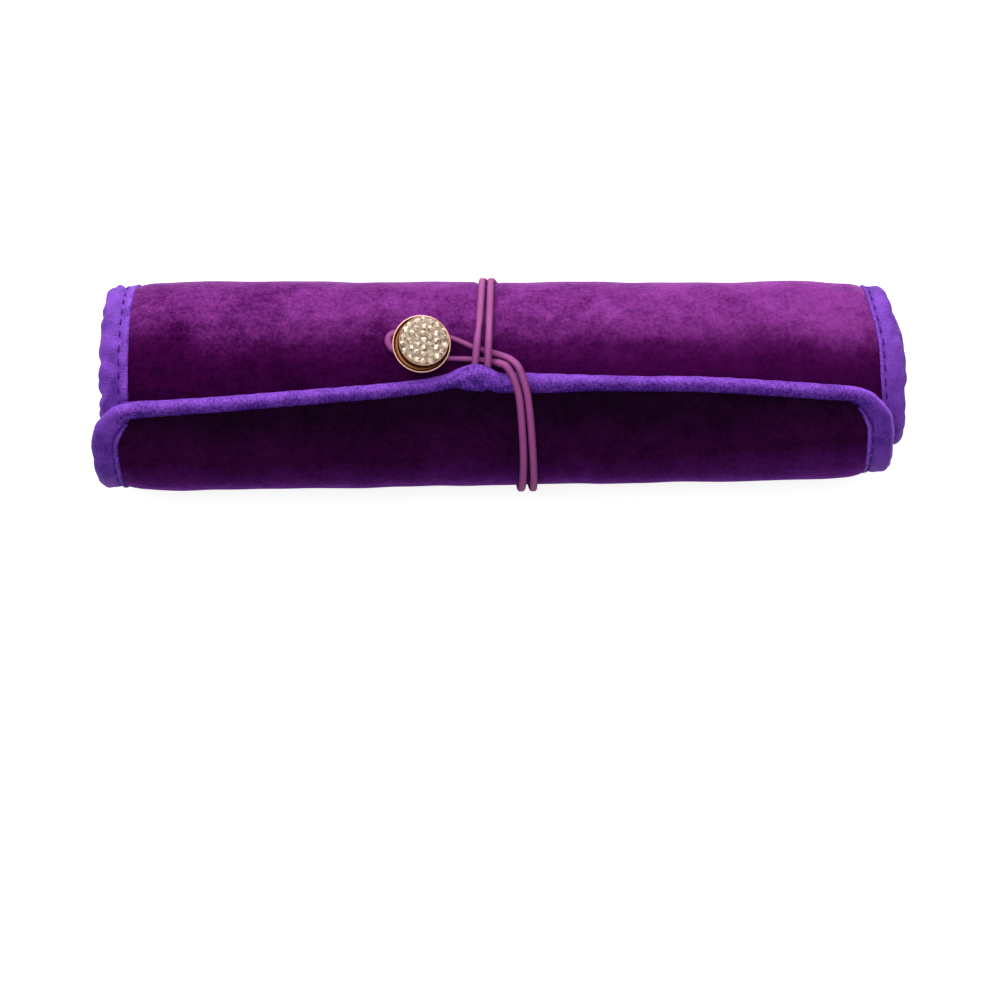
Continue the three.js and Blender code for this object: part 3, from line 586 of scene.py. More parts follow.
def pile_finish(name, shades, shine, light_and_shade_bands=(), slants=(), sway=1.0, bloom=(0.0, 0.0)):
    """Pile velvet, mottled between two shades; each band entry lays another pair of shades over it from one
    row to the next. The bands paint light and shade on the pile, and bring back its plain colour where they
    end.
    Slants and sway shift those rows, and bloom lifts one end."""
    material, wire, surface = new_finish(name, {
        "Roughness": 0.9, "Specular IOR Level": 0.0, "Sheen Weight": 1.0,
        "Sheen Roughness": 0.18, "Sheen Tint": shine})
    patches = noise(wire, 70.0, 3.0, 0.6)
    mottle = noise(wire, 270.0, 5.0, 0.68)
    nap = noise(wire, 900.0, 2.0, 0.6)
    pile = noise(wire, 2600.0, 3.0, 0.7)
    across, along = cloth_place(wire)
    lift = ranged(wire, across, 40.0, 190.0, *bloom)
    tone = ranged(wire, patches * 1.1 + mottle * 1.2 + nap * 1.1 + pile * 1.0 + lift, 1.75, 2.65)
    colour = mixed(wire, tone, shades[0], shades[1])
    stir = (patches - 0.5) * 10.0 + (mottle - 0.5) * 7.0 + (nap - 0.5) * 6.0 + (pile - 0.5) * 6.0
    along = along + stir * sway
    for slant in slants:
        along = along + ranged(wire, across, *slant)
    # Each band lays its pair of shades over the colour from one row on: painted light and shade on the
    # pile, and the plain pile where they end.
    for low, high, pair in light_and_shade_bands:
        band_colour = mixed(wire, tone, pair[0], pair[1])
        colour = mixed(wire, ranged(wire, along, low, high), colour, band_colour)
    plug(wire, surface,
         Base_Color=colour,
         Normal=bumped(wire, pile + nap + mottle * 1.6 + patches * 2.5, 0.55, 0.0004))
    return material


# The row where the painted lit band on the roll's pile gives way to its plain dark plum.
LIT_BAND_END = float(np.interp(math.radians(336.4), arc_theta, arc)) - FOLD
LAID = ((0.0175, 0.0004, 0.0190, 1), (0.048, 0.0019, 0.050, 1))
# Painted light: the roll's pile lit where the back box rakes it, then half-lit where that light falls off.
LIT_PILE = ((0.064, 0.0050, 0.076, 1), (0.207, 0.0325, 0.229, 1))
HALF_LIT_PILE = ((0.031, 0.0010, 0.034, 1), (0.094, 0.0070, 0.101, 1))
# Painted shadow: the flap's pile in deep shade under its edge tape.
TAPE_SHADOW_PILE = ((0.004, 0.0008, 0.005, 1), (0.012, 0.0016, 0.013, 1))
HANGING = ((0.0125, 0.0008, 0.0140, 1), (0.031, 0.0024, 0.035, 1))
# Painted sheen: the flap's pile lit at a grazing angle along its lower edge.
BOTTOM_SHEEN_PILE = ((0.060, 0.0060, 0.105, 1), (0.105, 0.0120, 0.175, 1))
PILE_SHINE = (0.85, 0.38, 1.0, 1)
# The roll's pile: a painted lit band over its back and top, a painted half-lit band, then its plain dark
# plum.
roll_pile = pile_finish("plum_velvet", LAID, PILE_SHINE, [
    (30, 60, LIT_PILE), (LIT_BAND_END - 6.2, LIT_BAND_END + 3.4, HALF_LIT_PILE), (LIT_BAND_END - 1.0, LIT_BAND_END + 8.0, LAID)],
    slants=((14, 34, -2.9, 0), (180, 196, 0, -1.5), (198, 206, 0, 5.2), (206, 216, 0, -1.5)),
    sway=-0.36, bloom=(0.20, -0.17))
# The flap's pile: painted shadow under its edge tape, its plain dark plum below that, and a painted sheen
# at its lower edge.
flap_pile = pile_finish("plum_velvet_flap", TAPE_SHADOW_PILE, (0.62, 0.16, 1.0, 1), [
    (4.0, 15.0, HANGING), (18.5, 36.0, BOTTOM_SHEEN_PILE)],
    slants=((80, 170, -4.4, -2.5), (183, 205, 0, 2.5), (10, 70, 7.5, 0)), sway=0.35)
FOLD_WIDE = 4.2
crease = rolled(np.array([-SHEET_HALF, SHEET_HALF, 0.0, 0.0]), FOLD - np.array([0, 0, 0, FOLD_WIDE]), -4.0)
sheet_pair("velvet", "cover", (164, 40, 160), 1.0, velvet_face, 0.9, (flap_pile, roll_pile))


# Wadding: white polyester felt between the velvet and the lining, cut short of the
# bound edges so that the tape can lie flat.
felt, wire, surface = new_finish("polyester_felt", {"Roughness": 0.95, "Sheen Weight": 0.3})
fibre = noise(wire, 900.0, 5.0, 0.7)
plug(wire, surface,
     Base_Color=mixed(wire, fibre, srgb(214, 210, 205), srgb(244, 242, 238)),
     Normal=bumped(wire, fibre, 0.6, 0.0005))


def felt_face(x, u):
    return velvet_face(x, u) - 1.2


sheet_pair("felt", "wadding", (80, 18, 80), 9, felt_face, 1.3, (felt, felt))


# Lining: thinner plum velvet on the inside of the sheet, which carries the pockets and
# the ring bar.
lining_velvet = pile_finish("lining_velvet", ((0.034, 0.004, 0.042, 1), (0.075, 0.010, 0.092, 1)),
                            (0.75, 0.18, 0.85, 1))


def lining_face(x, u):
    from_edge = np.minimum(SHEET_HALF - np.abs(x), np.minimum(u - free_edge(x), inner_end(x) - u))
    loose = np.clip((from_edge - 7) / 9, 0, 1)
    return -PANEL + 0.10 * loose * ripple(x, u, 26, 8)


sheet_pair("inside", "lining", (120, 30, 120), 1.0, lining_face, 0.7, (lining_velvet, lining_velvet),
           inward=True)


# Bound edge: violet tape folded over the raw edges and sewn through. It lies lumpy at
# the ends of the roll and is bunched at the peak, where the elastic is sewn in.
TAPE = np.array([
    [6.20, -1.15], [6.30, -0.70], [6.15, -0.22], [5.80, -0.04], [5.45, -0.18], [5.15, -0.52],
    [4.85, -0.68], [4.50, -0.52], [3.70, -0.30], [2.60, -0.06], [1.40, 0.16], [0.40, -0.12],
    [-0.42, -0.80], [-0.90, -1.65], [-1.05, -2.65]])
TAPE_MIDDLE = TAPE[-1, 1]
outer = np.vstack([TAPE, (TAPE * [1, -1] + [0, 2 * TAPE_MIDDLE])[-2::-1]])
outer = smooth_line(np.column_stack([outer, 0 * outer[:, 0]]), 1.9)[:, :2]
inside = np.array([[5.8, -4.2], [3.6, -4.25], [0.2, -4.1], [-0.3, TAPE_MIDDLE], [0.2, -1.2], [3.6, -1.05],
                   [5.8, -1.1]])
TAPE_RING = np.vstack([outer, inside, outer[:1]])
STITCH_PITCH = 4.0
STITCH_AT = 4.85
CORNER_FROM = SHEET_HALF - CORNER
round_corner = CORNER_FROM + CORNER * np.sin(np.linspace(math.pi / 2, 0, 30))
straight_x = np.linspace(-CORNER_FROM, CORNER_FROM, 700)[1:-1]
across_x = np.concatenate([-round_corner, straight_x, round_corner[::-1]])


def edge_run(end_of):
    """Edge of the sheet from the fold round to the fold: evenly spaced x and u, and the way along."""
    left = np.linspace(FOLD, end_of(-SHEET_HALF), 200)[:-1]
    right = np.linspace(end_of(SHEET_HALF), FOLD, 200)[1:]
    xs = np.concatenate([-SHEET_HALF + 0 * left, across_x, SHEET_HALF + 0 * right])
    us = np.concatenate([left, end_of(across_x), right])
    line = evenly(np.column_stack([xs, us, 0 * xs]), 1.8)[:, :2]
    way = np.gradient(line, axis=0)
    return line, way / np.linalg.norm(way, axis=1)[:, None]


def scallop(s, pitch, seed):
    rng = np.random.default_rng(seed)
    wander = sum(rng.uniform(0.3, 1.1) * np.sin(s / rng.uniform(4, 16) + rng.uniform(0, TAU))
                 for _ in range(5))
    return np.abs(np.sin(math.pi * (s + wander) / pitch)) - 0.6


def binding_point(line, way, turn, lump):
    """Places on the tape for a row index and a ring point: rounded, sewn and lumpy."""
    steps = len(line) - 1
    run = run_along(line)
    inward = turn * np.column_stack([-way[:, 1], way[:, 0]])
    straight = np.exp(-((line[:, :1] + 3.5) / 10.0) ** 4) * (line[:, 1:] < 30)
    inward = inward * (1 - straight) + np.array([0.0, 1.0]) * straight

    def place(i, d, t):
        x, u = line[i].T
        s = run[i]
        top = np.where(t > TAPE_MIDDLE, 1.0, -1.0)
        height = np.abs(t - TAPE_MIDDLE)
        edge = np.clip((3.0 - d) / 3.6, 0, 1)
        rough = lump(x, u) * (scallop(s, 8.3, 11) + 0.5 * scallop(s, 4.9, 12))
        side = eased(np.clip((np.abs(x) - CORNER_FROM) / CORNER, 0, 1))
        width, set_in, broad = tape_side(x, u)
        wide = (tape_end(x) + (width - tape_end(x)) * side) / TAPE[0, 0]
        peak = np.exp(-((x + 2.5) / 9.0) ** 2) * (u < 30)
        tuck = (1 - side) ** 2 * (u < 60) * np.clip((d - 3.9) / 1.3, 0, 1)
        fold = peak * np.sin(TAU * d / 2.6 + 0.45 * x) + 0.40 * peak * np.sin(TAU * x / 3.6)
        fold = fold * np.clip((4.4 - d) / 1.2, 0, 1)
        sewn = np.exp(-((d - STITCH_AT) / 0.55) ** 2) * (0.5 + 0.5 * np.cos(TAU * s / STITCH_PITCH))
        low = (x > 0) * side * (u < 60) * np.clip((u - 24) / 10, 0, 1)
        d = np.where(d > 0, d * wide, d) + side * (set_in + broad * np.clip((d - STITCH_AT) / 1.35, 0, 1.1))
        pucker = lump(x, u) * ripple(s, 2.2 * d, 5.5, 19)
        height = height * (1 + 0.16 * rough * edge) + 0.48 * fold * np.clip(height, 0, 1)
        height = height - 0.25 * sewn * (height > 1)
        height = height + (0.5 * pucker - 1.7 * tuck - 0.7 * low) * np.clip(height - 0.6, 0, 1)
        height = height + 0.25 * peak * np.clip(height, 0, 1)
        d = d - rough * edge * 0.8 - 0.5 * peak * edge
        x = x + inward[i, 0] * d
        u = u + inward[i, 1] * d
        return rolled(x, u, TAPE_MIDDLE + top * height + fuller(x, u))

    return place, steps, run


def binding(name, line, way, turn, lump):
    place, steps, run = binding_point(line, way, turn, lump)
    ring = len(TAPE_RING) - 1

    def put(p, q):
        j = np.rint(q * ring).astype(int)
        return place(np.rint(p * steps).astype(int), TAPE_RING[j, 0], TAPE_RING[j, 1])

    return closed_tube(name, steps, ring, put, (run[-1], 40.0))


def tape_weave(name, painted_shade_strength, shown):
    """Ribbed violet tape. Its turned edge has a painted highlight outside the run shown[0] to shown[1], in
    mm, and a painted shade inside it. The second argument sets painted shade on the flat between that edge
    and the fold, on the side runs, and on the turned edge at the left end. It turns to painted light at the
    lower ends of the side runs, and puts a painted highlight on the fold at the right end."""
    material, wire, surface = new_finish(name, {
        "Roughness": 0.5, "Specular IOR Level": 0.10, "Sheen Weight": 0.18,
        "Sheen Roughness": 0.3, "Sheen Tint": srgb(176, 100, 240)})
    spot = wire.node("ShaderNodeUVMap")
    weft, warp = (
        noise(wire, 1.0, 2.0, where=wire.node("ShaderNodeMapping", {"Vector": spot, "Scale": scale}))
        for scale in ((2.6, 0.35, 1.0), (0.5, 2.0, 1.0)))
    cloud = noise(wire, 150.0, 3.0)
    speck = noise(wire, 1500.0, 2.0, 0.7)
    run, profile = cloth_place(wire)
    # The side runs of the tape, outside shown, where its painted light differs from the run along the
    # flap's edge.
    side_runs = ranged(wire, run, shown[0], shown[0] + 6, 1.0, 0.0) + ranged(wire, run, shown[1] - 6, shown[1])
    # Painted shade for the turned edge at the left end of the flap's tape.
    left_end_shade = ranged(wire, run, shown[0] - 6, shown[0] + 6, 1.0, 0.0) * painted_shade_strength
    # The turned edge: a painted highlight on the side runs, painted shade along the flap's edge, and deeper
    # painted shade at its left end.
    bead_light_and_shade = ranged(wire, profile, 2.2, 2.9, 1.0, 0.0) * (side_runs * 1.1 - 1.0 - left_end_shade * 1.2)
    # A painted highlight on the fold, at the right end of the flap's tape.
    fold_highlight = ranged(wire, profile, 12.0, 13.2) * ranged(wire, profile, 16.4, 17.4, 1.0, 0.0)
    fold_highlight = fold_highlight * ranged(wire, run, shown[1] - 16, shown[1] - 6)
    # Painted light at the lower ends of the side runs, which turns their painted shade lighter.
    lit_lower_ends = ranged(wire, run, shown[0] - 26, shown[0] - 18, 1.0, 0.0) * side_runs
    lit_lower_ends = lit_lower_ends + ranged(wire, run, shown[1] + 18, shown[1] + 26)
    # Painted shade on the flat along the flap's edge, and on the side runs, where the weave is also
    # smoothed.
    flat = ranged(wire, profile, 2.6, 3.4) * ranged(wire, profile, 7.5, 10.0, 1.0, 0.0) * (1.0 - side_runs)
    smoothed_and_shaded = ranged(wire, profile, 2.8, 3.6) * ranged(wire, profile, 13.0, 15.5, 1.0, 0.0) * side_runs
    weave = weft * 0.9 + warp * 0.4 + cloud * 0.7 + speck * 1.3 + bead_light_and_shade * 0.7 - flat * painted_shade_strength
    weave = weave - smoothed_and_shaded * ((weft - 0.5) * 0.7 + (speck - 0.5) * 0.9 + painted_shade_strength * (0.67 - lit_lower_ends * 0.95))
    weave = weave + fold_highlight * painted_shade_strength * 1.6
    plug(wire, surface,
         Base_Color=mixed(wire, ranged(wire, weave, 1.26, 2.10), srgb(50, 11, 106), srgb(141, 75, 202)),
         Normal=bumped(wire, weft + warp * 0.5 + speck * 0.5, 0.7, 0.0005))
    return material


# Both tapes get a painted highlight on the turned edge along their sides. The flap's tape also gets the
# painted shade and highlights set by its second argument.
tape_finish = tape_weave("violet_tape", 0.0, (900.0, 910.0))
flap_tape_finish = tape_weave("violet_tape_flap", 0.30, (40.0, 268.0))


def flap_lump(x, u):
    return np.where(np.abs(x) > 108, 0.30, 0.14)


def roll_lump(x, u):
    uneven = np.clip(0.55 + 0.6 * ripple(x, u, 46, 17), 0.1, 1.1)
    return np.where(np.abs(x) > 108, np.where(x < 0, 0.95, 0.45), 0.2) * uneven


flap_edge = (*edge_run(free_edge), 1, flap_lump)
roll_edge = (*edge_run(inner_end), -1, roll_lump)
for part, edge, finish, body in (("flap", flap_edge, flap_tape_finish, "fold"),
                                 ("roll", roll_edge, tape_finish, "roll")):
    piece = binding(part + "_edge_tape", *edge)
    dressed(piece, finish, body, part + "_binding")


# Stitching: one row of violet thread through the tape, shown on both faces, a stitch
# about every 4 mm and each end drawn down into the tape.
STITCH_LONG, STITCH_RADIUS, STITCH_DIP = 0.0021, 0.00028, 0.0003
SEAM_FACES = (-0.50, -4.80)
bpy.ops.object.select_all(action="DESELECT")
bpy.ops.mesh.primitive_cylinder_add(
    vertices=6, radius=STITCH_RADIUS, depth=STITCH_LONG, rotation=(0, math.pi / 2, 0))
stitch = bpy.context.object
bpy.ops.object.transform_apply(location=True, rotation=True, scale=True)
bpy.ops.object.mode_set(mode="EDIT")
bpy.ops.mesh.select_all(action="SELECT")
bpy.ops.mesh.bevel(offset=0.00016, segments=1)
bpy.ops.object.mode_set(mode="OBJECT")
for vertex in stitch.data.vertices:
    vertex.co.z -= STITCH_DIP * (vertex.co.x / (STITCH_LONG / 2)) ** 2
bpy.ops.object.shade_smooth()
thread_finish, wire, surface = new_finish("violet_thread", {"Roughness": 0.7, "Specular IOR Level": 0.2})
twist = noise(wire, 5200.0, 2.0)
plug(wire, surface,
     Base_Color=mixed(wire, twist, srgb(34, 8, 84), srgb(72, 30, 140)),
     Normal=bumped(wire, twist, 0.5, 0.0001))


def joined(name, pieces):
    bpy.ops.object.select_all(action="DESELECT")
    for piece in pieces:
        piece.select_set(True)
    bpy.context.view_layer.objects.active = pieces[0]
    bpy.ops.object.join()
    piece = bpy.context.object
    bpy.ops.object.transform_apply(location=True, rotation=True, scale=True)
    piece.name = name
    piece.data.name = name
    return piece


def copied(piece, frame_matrix):
    twin = piece.copy()
    twin.data = piece.data.copy()
    twin.matrix_world = frame_matrix
    bpy.context.collection.objects.link(twin)
    return twin


def seam(name, line, way, turn, lump):
    place, _, run = binding_point(line, way, turn, lump)
    twins = []
    for face in SEAM_FACES:
        for s in np.arange(STITCH_PITCH, run[-1] - STITCH_PITCH, STITCH_PITCH):
            i = np.searchsorted(run, s + STITCH_PITCH / 2)
            rows = np.array([i - 2, i + 2, i, i])
            spots = place(rows, np.full(4, STITCH_AT) + [0, 0, -0.3, 0.3], np.full(4, face))
            ahead = Vector(spots[1] - spots[0]).normalized()
            side = Vector(spots[3] - spots[2])
            up = ahead.cross(side).normalized()
            out = Vector(rolled(line[i, 0], line[i, 1], 1.0) - rolled(line[i, 0], line[i, 1], -1.0))
            up = up * (1 if (up.dot(out) > 0) == (face > TAPE_MIDDLE) else -1)
            side = up.cross(ahead)
            turned = Matrix((ahead, side, up)).transposed().to_4x4()
            turned.translation = Vector((spots[2] + spots[3]) / 2) + up * 0.0002
            twins.append(copied(stitch, turned))
    return joined(name, twins)


flap_seam = seam("flap_edge_stitches", *flap_edge)
roll_seam = seam("roll_edge_stitches", *roll_edge)
bpy.data.objects.remove(stitch)
dressed(flap_seam, thread_finish, "fold")
dressed(roll_seam, thread_finish, "roll")


# Button: a rose gold plated casting with a thin flared rim and a raised drum, which turns
# on its shank. Brilliants stand close together in the drum, held by small grains.
BUTTON_LIFT = 2.9 + 8.35 * math.sin(math.radians(7))
button_frame = Vector((0, 0, 1)).rotation_difference(Vector((0.12052, -0.08619, 0.98896)))
button_frame = button_frame.to_matrix().to_4x4()
button_frame.translation = Vector((-0.0235511, 0.0054482, 0.0405474))


def turned_piece(name, sides, profile, base=0):
    """A cone drawn up ring by ring: each step of profile is a radius and a height off base, in mm."""
    profile = [(r, base + z) for r, z in profile]
    (r0, z0), (r1, z1) = profile[:2]
    bpy.ops.object.select_all(action="DESELECT")
    bpy.ops.mesh.primitive_cone_add(vertices=sides, radius1=r0 * MM, radius2=r1 * MM,
                                    depth=(z1 - z0) * MM, location=(0, 0, (z0 + z1) * (MM / 2)))
    piece = bpy.context.object
    bpy.ops.object.transform_apply(location=True, rotation=True, scale=True)
    bpy.ops.object.mode_set(mode="EDIT")
    bpy.ops.mesh.select_mode(type="FACE")
    bpy.ops.mesh.select_all(action="DESELECT")
    bpy.ops.object.mode_set(mode="OBJECT")
    top = max(piece.data.polygons, key=lambda f: f.center.z)
    top.select = True
    bpy.ops.object.mode_set(mode="EDIT")
    for (ra, za), (rb, zb) in zip(profile[1:], profile[2:]):
        bpy.ops.mesh.extrude_region_move(TRANSFORM_OT_translate={"value": (0, 0, (zb - za) * MM)})
        bpy.ops.transform.resize(value=(rb / ra, rb / ra, 1), center_override=(0, 0, zb * MM))
    bpy.ops.object.mode_set(mode="OBJECT")
    piece.name = name
    piece.data.name = name
    return piece


def settled(piece, frame_matrix):
    piece.data.transform(frame_matrix)
    piece.data.update()


def plated(name, low, high, rough):
    material, wire, surface = new_finish(name, {"Metallic": 1.0})
    wear = noise(wire, 700.0, 4.0, 0.6)
    fine = noise(wire, 6000.0, 2.0)
    plug(wire, surface,
         Base_Color=mixed(wire, wear, low, high),
         Roughness=ranged(wire, wear + fine * 0.4, 0.3, 1.1, rough * 0.7, rough * 1.4),
         Normal=bumped(wire, fine, 0.12, 0.00005))
    return material


rose_gold = plated("rose_gold", (0.52, 0.28, 0.21, 1), (0.68, 0.43, 0.35, 1), 0.26)
# The trough between the rim and the drum takes a darker gold: painted shade and a painted dark reflection
# in the recess.
recess_shade_gold = plated("recess_gold_painted_shade", (0.05, 0.015, 0.005, 1), (0.24, 0.10, 0.04, 1), 0.3)
casting = turned_piece("button_body", 96, [
    (1.6, -1.5), (1.9, -1.2), (1.9, 0), (7.2, 0), (7.9, 0.35), (8.28, 0.85), (8.36, 1.10), (8.32, 1.26),
    (8.18, 1.34), (7.98, 1.32), (7.84, 1.20), (7.76, 0.95), (7.70, 0.36), (7.22, 0.28), (7.12, 0.36),
    (7.08, 3.96), (7.04, 4.08), (6.96, 4.13), (6.88, 4.08), (6.84, 3.9)], BUTTON_LIFT)
bevel = casting.modifiers.new("soft_edges", "BEVEL")
bevel.width = 0.00005
bevel.segments = 2
bevel.limit_method = "ANGLE"
apply_all(casting)
bpy.ops.object.shade_smooth_by_angle(angle=math.radians(40))
casting.data.materials.append(rose_gold)
casting.data.materials.append(recess_shade_gold)
# The faces in the trough take the darker gold of the painted shade.
for face in casting.data.polygons:
    reach = face.center.xy.length * 1000
    if 7.03 < reach < 7.80 and face.center.z > (BUTTON_LIFT + 0.2) * MM:
        face.material_index = 1
DRUM_X, DRUM_Y, DRUM_REACH = 0.00040, 0.00033, 0.0073
for vertex in casting.data.vertices:
    if vertex.co.z > (BUTTON_LIFT + 0.3) * MM and vertex.co.xy.length < DRUM_REACH:
        vertex.co.x += DRUM_X
        vertex.co.y += DRUM_Y
setting = button_frame @ Matrix.Translation((DRUM_X, DRUM_Y, 0.0))
settled(casting, button_frame)
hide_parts("button_casting")
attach(casting, "button")

bed = turned_piece("button_bed", 48, [
    (6.78, 3.80), (6.78, 4.02), (5.6, 4.14), (3.6, 4.30), (0.4, 4.40)], BUTTON_LIFT)
bpy.ops.object.shade_smooth()
settled(bed, setting)
paste, wire, surface = new_finish("champagne_paste", {"Roughness": 0.45, "Metallic": 0.3})
clot = noise(wire, 1400.0)
plug(wire, surface,
     Base_Color=mixed(wire, clot, srgb(112, 92, 72), srgb(196, 172, 148)),
     Normal=bumped(wire, clot, 0.6, 0.0002))
dressed(bed, paste, "button")

brilliant = turned_piece("brilliant", 8, [(0.25, -0.55), (1.02, -0.02), (1.02, 0.05), (0.58, 0.37)])
bpy.ops.object.mode_set(mode="EDIT")
bpy.ops.mesh.inset(thickness=0.00013)
bpy.ops.transform.rotate(value=math.pi / 8, orient_axis="Z", center_override=(0, 0, 0))
bpy.ops.transform.translate(value=(0, 0, 0.00005))
bpy.ops.object.mode_set(mode="OBJECT")
grain_bead = turned_piece("grain", 8, [(0.22, 0.0), (0.22, 0.10), (0.16, 0.20), (0.06, 0.25)])
bpy.ops.object.shade_smooth()
STONE_PITCH, STONE_HIGH = 1.985, 4.38
GRAIN_INSET, GRAIN_HIGH = 0.62, 4.30
BED_DROP = 0.010
NOD = 0.16


def on_bed(reach, angle, height, drop):
    return setting @ Matrix.Translation((
        reach * math.cos(angle) * MM, reach * math.sin(angle) * MM, (BUTTON_LIFT + height - drop) * MM))


def facet_key(face):
    """Height and turn of a facet, which order the facets in the same way on every run."""
    x, y, z = face.center * 1000
    return round(z * 20), math.atan2(y, x) if math.hypot(x, y) > 0.1 else 0.0


facets = [face.index for face in sorted(brilliant.data.polygons, key=facet_key)]
stones = []
grains = []
rng = np.random.default_rng(21)
for ring in range(4):
    count = max(6 * ring, 1)
    r = ring * STONE_PITCH
    drop = BED_DROP * r * r
    for i in range(count):
        a = TAU * (i + ring / 2) / count
        spin = Matrix.Rotation(rng.uniform(0, TAU), 4, "Z")
        nod = Matrix.Rotation(rng.uniform(-NOD, NOD), 4, "X")
        nod = nod @ Matrix.Rotation(rng.uniform(-NOD, NOD), 4, "Y")
        stones.append(copied(brilliant, on_bed(r, a, STONE_HIGH, drop) @ nod @ spin))
        if ring:
            between = a + math.pi / count
            grains.append(copied(grain_bead, on_bed(r - GRAIN_INSET, between, GRAIN_HIGH, drop)))
bpy.data.objects.remove(brilliant)
bpy.data.objects.remove(grain_bead)
glints = np.empty((len(stones), len(facets)))
glints[:, facets] = rng.uniform(0, 1, glints.shape)
stones = joined("button_brilliants", stones)
glint = stones.data.attributes.new("glint", "FLOAT", "FACE")
glint.data.foreach_set("value", glints.ravel())
crystal, wire, surface = new_finish("foiled_crystal", {
    "Metallic": 0.5, "Roughness": 0.32, "Specular IOR Level": 0.5, "Coat Weight": 0.1})
flash = wire.node("ShaderNodeAttribute", out="Fac", attribute_name="glint")
cloud = noise(wire, 500.0)
tone = ranged(wire, flash ** 1.3 + cloud * 0.4, 0.1, 1.15)
plug(wire, surface, Base_Color=mixed(wire, tone, srgb(84, 70, 52), srgb(240, 218, 196)))
dressed(stones, crystal, "button", "button_stones")
dressed(joined("button_grains", grains), paste, "button")


# Button thread: a shank of plum thread that sews the button to the velvet, wound round
# its own strands between the cloth and the button's eye.
def wound(p):
    a = TAU * 7.5 * p
    r = 1.05 + 0.25 * np.cos(TAU * p)
    return np.column_stack([r * np.cos(a), r * np.sin(a), 0.85 + 1.05 * p, np.cos(a), np.sin(a), 0 * p])


shank = strand("button_shank_thread", wound(np.linspace(0, 1, 260)), 0.5, 0.46, 8)
core = turned_piece("button_shank_core", 12, [
    (1.2, 0.70), (1.0, 0.85), (0.95, 1.4), (1.0, 1.9), (1.2, 2.05)])
bpy.ops.object.shade_smooth()
shank = joined("button_shank_thread", [shank, core])
settled(shank, button_frame)
plum_thread, wire, surface = new_finish("plum_thread", {"Roughness": 0.7, "Sheen Weight": 0.4})
ply = noise(wire, 4200.0, 2.0)
plug(wire, surface,
     Base_Color=mixed(wire, ply, srgb(40, 10, 46), srgb(96, 36, 106)),
     Normal=bumped(wire, ply, 0.5, 0.0001))
dressed(shank, plum_thread, "roll", "button_thread")


# Ring bar: a velvet tube stuffed with wadding in the core of the roll, gathered at both
# ends. It is sewn down by a strap at the left and closed by a press stud at the right.
BAR_TURN = math.radians(548)
BAR_HALF = 86.0
BAR_AXIS = 8.7
BAR_SEAT = 92


def lining_frame(turn):
    """Frame in mm on the lining: x along the roll, y along the sheet, z off the face."""
    a, b = (around(np.array(side * BAR_SEAT - SKEW * turn / TAU), np.array(turn), -PANEL) * 1000
            for side in (-1, 1))
    ahead = Vector(b - a).normalized()
    ny, nz = section_normal(np.array(turn))
    up = Vector((0, -float(ny), -float(nz)))
    side = up.cross(ahead).normalized()
    up = ahead.cross(side).normalized()
    made = Matrix((ahead, side, up)).transposed().to_4x4()
    made.translation = Vector((a + b) / 2)
    return np.array(made)


def in_frame(made, along, side, up):
    local = np.stack([along, side, up, 1 + 0 * along], -1)
    return (local @ made.T)[..., :3] * MM


bar_frame = lining_frame(BAR_TURN)


def bar_tube(name, half, radius, steps, sides, pleat, seed):
    def place(p, q):
        a = round_tube(q)
        x = half * (2 * p - 1)
        end = np.clip((half - np.abs(x)) / 7, 0, 1)
        body = np.sqrt(1 - (1 - end) ** 2)
        r = radius * (0.42 + 0.58 * body) + 0.07 * ripple(x, a * radius, 18, seed) * end
        r = r + pleat * np.sin(17 * a) * (1 - end) ** 2
        return in_frame(bar_frame, x, r * np.cos(a), BAR_AXIS + r * np.sin(a))
    return closed_tube(name, steps, sides, place, (2 * half, TAU * radius))


sleeve = bar_tube("ring_bar_cover", BAR_HALF, 6.5, 150, 68, 0.22, 31)
dressed(sleeve, lining_velvet, "roll", "ring_bar_sleeve")
stuffing = bar_tube("ring_bar_stuffing", BAR_HALF - 1.5, 5.4, 80, 32, 0.0, 32)
dressed(stuffing, felt, "roll", "ring_bar_filling")
STRAP_WIDE, STRAP_THICK = 12, 0.9


def strap(name, node, path):
    """A tape along path, rows of distance along the bar and height off the lining, in mm."""
    path = np.array(path)
    line = evenly(np.column_stack([path, 0 * path[:, 0]]), 2.0)
    steps = len(line) - 1

    def place(p, q):
        i = np.rint(q * steps).astype(int)
        side = (1 - 2 * p) * STRAP_WIDE / 2
        dish = 0.12 * np.exp(-((np.abs(side) - STRAP_WIDE / 2 + 1.2) / 0.5) ** 2)
        return in_frame(bar_frame, line[i, 0], side, line[i, 1] - dish)

    piece = grid_piece(name, 36, steps, place, (STRAP_WIDE, steps / 2))
    solidify(piece, STRAP_THICK)
    dressed(piece, tape_finish, "roll", node)


strap("ring_bar_tape_tab", "ring_bar_tab", [
    [BAR_HALF - 1.5, 4.4], [BAR_HALF + 6, 4.45], [BAR_HALF + 19.3, 4.45]])
strap("ring_bar_tape_anchor", "ring_bar_anchor", [
    [-BAR_HALF - 13.3, 1.2], [-BAR_HALF - 9.5, 1.5], [-BAR_HALF - 7.5, 3.2], [-BAR_HALF - 5, 4.3],
    [-BAR_HALF + 1.5, 4.4]])


def plate_nodes(finish, *nodes):
    for node in nodes:
        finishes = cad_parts[node].data.materials
        finishes.clear()
        finishes.append(finish)


steel_plating = plated("nickel_plating", (0.55, 0.50, 0.46, 1), (0.72, 0.68, 0.64, 1), 0.25)
plate_nodes(steel_plating, "snap_stud", "snap_socket", "snap_cap")


# Open pocket: a second piece of lining velvet laid on the roll's lining, with a tape
# sewn along its mouth.
def layer(name, cells, half, start, end, face, thick, finish, node, part):
    """A piece sewn on the lining of the flap or the roll."""
    piece = sheet_piece(name, *cells, half, start, end, face, thick, inward=True)
    dressed(piece, finish, "fold" if part == "flap" else part, node)


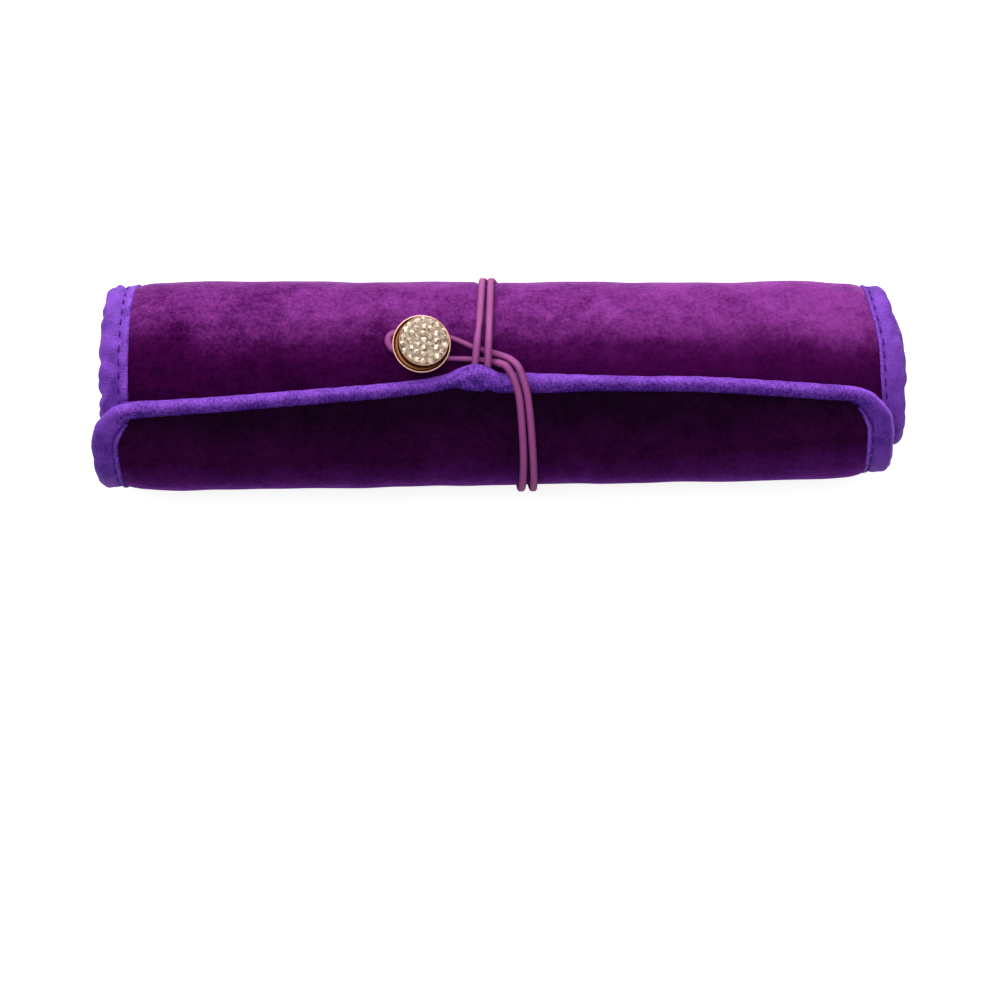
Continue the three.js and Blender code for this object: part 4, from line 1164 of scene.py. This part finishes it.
POCKET_HALF = 103.0
POCKET_FROM = FOLD + 0.25
POCKET_ROW = (259.0 - POCKET_FROM) / 29
MOUTH = POCKET_FROM + 13 * POCKET_ROW
layer("open_pocket", (110, 40), POCKET_HALF, at_row(POCKET_FROM + 8 * POCKET_ROW), at_row(MOUTH),
      lambda x, u: -4.9 + 0.08 * ripple(x, u, 22, 14), 0.6, lining_velvet,
      "slip_pocket", "roll")
layer("open_pocket_tape", (110, 8), POCKET_HALF, at_row(MOUTH + 0.3), at_row(MOUTH + POCKET_ROW - 0.3),
      lambda x, u: -5.1 + 0.06 * ripple(x, u, 9, 15), 0.8, tape_finish,
      "slip_pocket_trim", "roll")


# Zip pocket: a velvet panel on the flap's lining, closed by a nylon coil zip between two
# woven tapes, with crimped stops and a cast slider.
ZIP_HALF = 94.0
layer("zip_pocket_panel", (110, 26), POCKET_HALF, lambda x: free_edge(x) + 6.8, at_row(31.9),
      lambda x, u: -4.9 - 1.75 * eased(np.clip((u - 20) / 12, 0, 1)),
      0.6, lining_velvet, "zip_pocket", "flap")
for name, start, end, node in (("zip_tape_upper", 42.8, 48.4, "zip_tape_lining"),
                               ("zip_tape_lower", 32.2, 37.8, "zip_tape_pocket")):
    layer(name, (100, 8), ZIP_HALF, at_row(start), at_row(end), lambda x, u: -6.05, 0.4,
          tape_finish, node, "flap")
nylon, wire, surface = new_finish("violet_nylon", {"Roughness": 0.35, "Coat Weight": 0.2})
mottle = noise(wire, 1500.0)
plug(wire, surface,
     Base_Color=mixed(wire, mottle, srgb(62, 28, 84), srgb(100, 52, 128)),
     Normal=bumped(wire, mottle, 0.15, 0.0001))


def coil(name, middle_u, hand, node):
    turns = 150
    p = np.linspace(0, 1, turns * 12 + 1)
    a = TAU * turns * p
    x = -ZIP_HALF + 2 * ZIP_HALF * p
    spots = rolled(x, middle_u + hand * 0.62 * np.cos(a), -5.85 + 0.38 * np.sin(a)) * 1000
    out = rolled(x, middle_u + hand * 1.2 * np.cos(a), -5.85 + 0.9 * np.sin(a)) * 1000 - spots
    piece = strand(name, np.column_stack([spots, out]), 0.36, 0.36, 6)
    dressed(piece, nylon, "flap", node)


coil("zip_coil_upper", 41.75, 1, "zip_coil_lining")
coil("zip_coil_lower", 38.85, -1, "zip_coil_pocket")
plate_nodes(rose_gold, "zip_stop_left", "zip_stop_right", "zip_slider", "zip_pull")
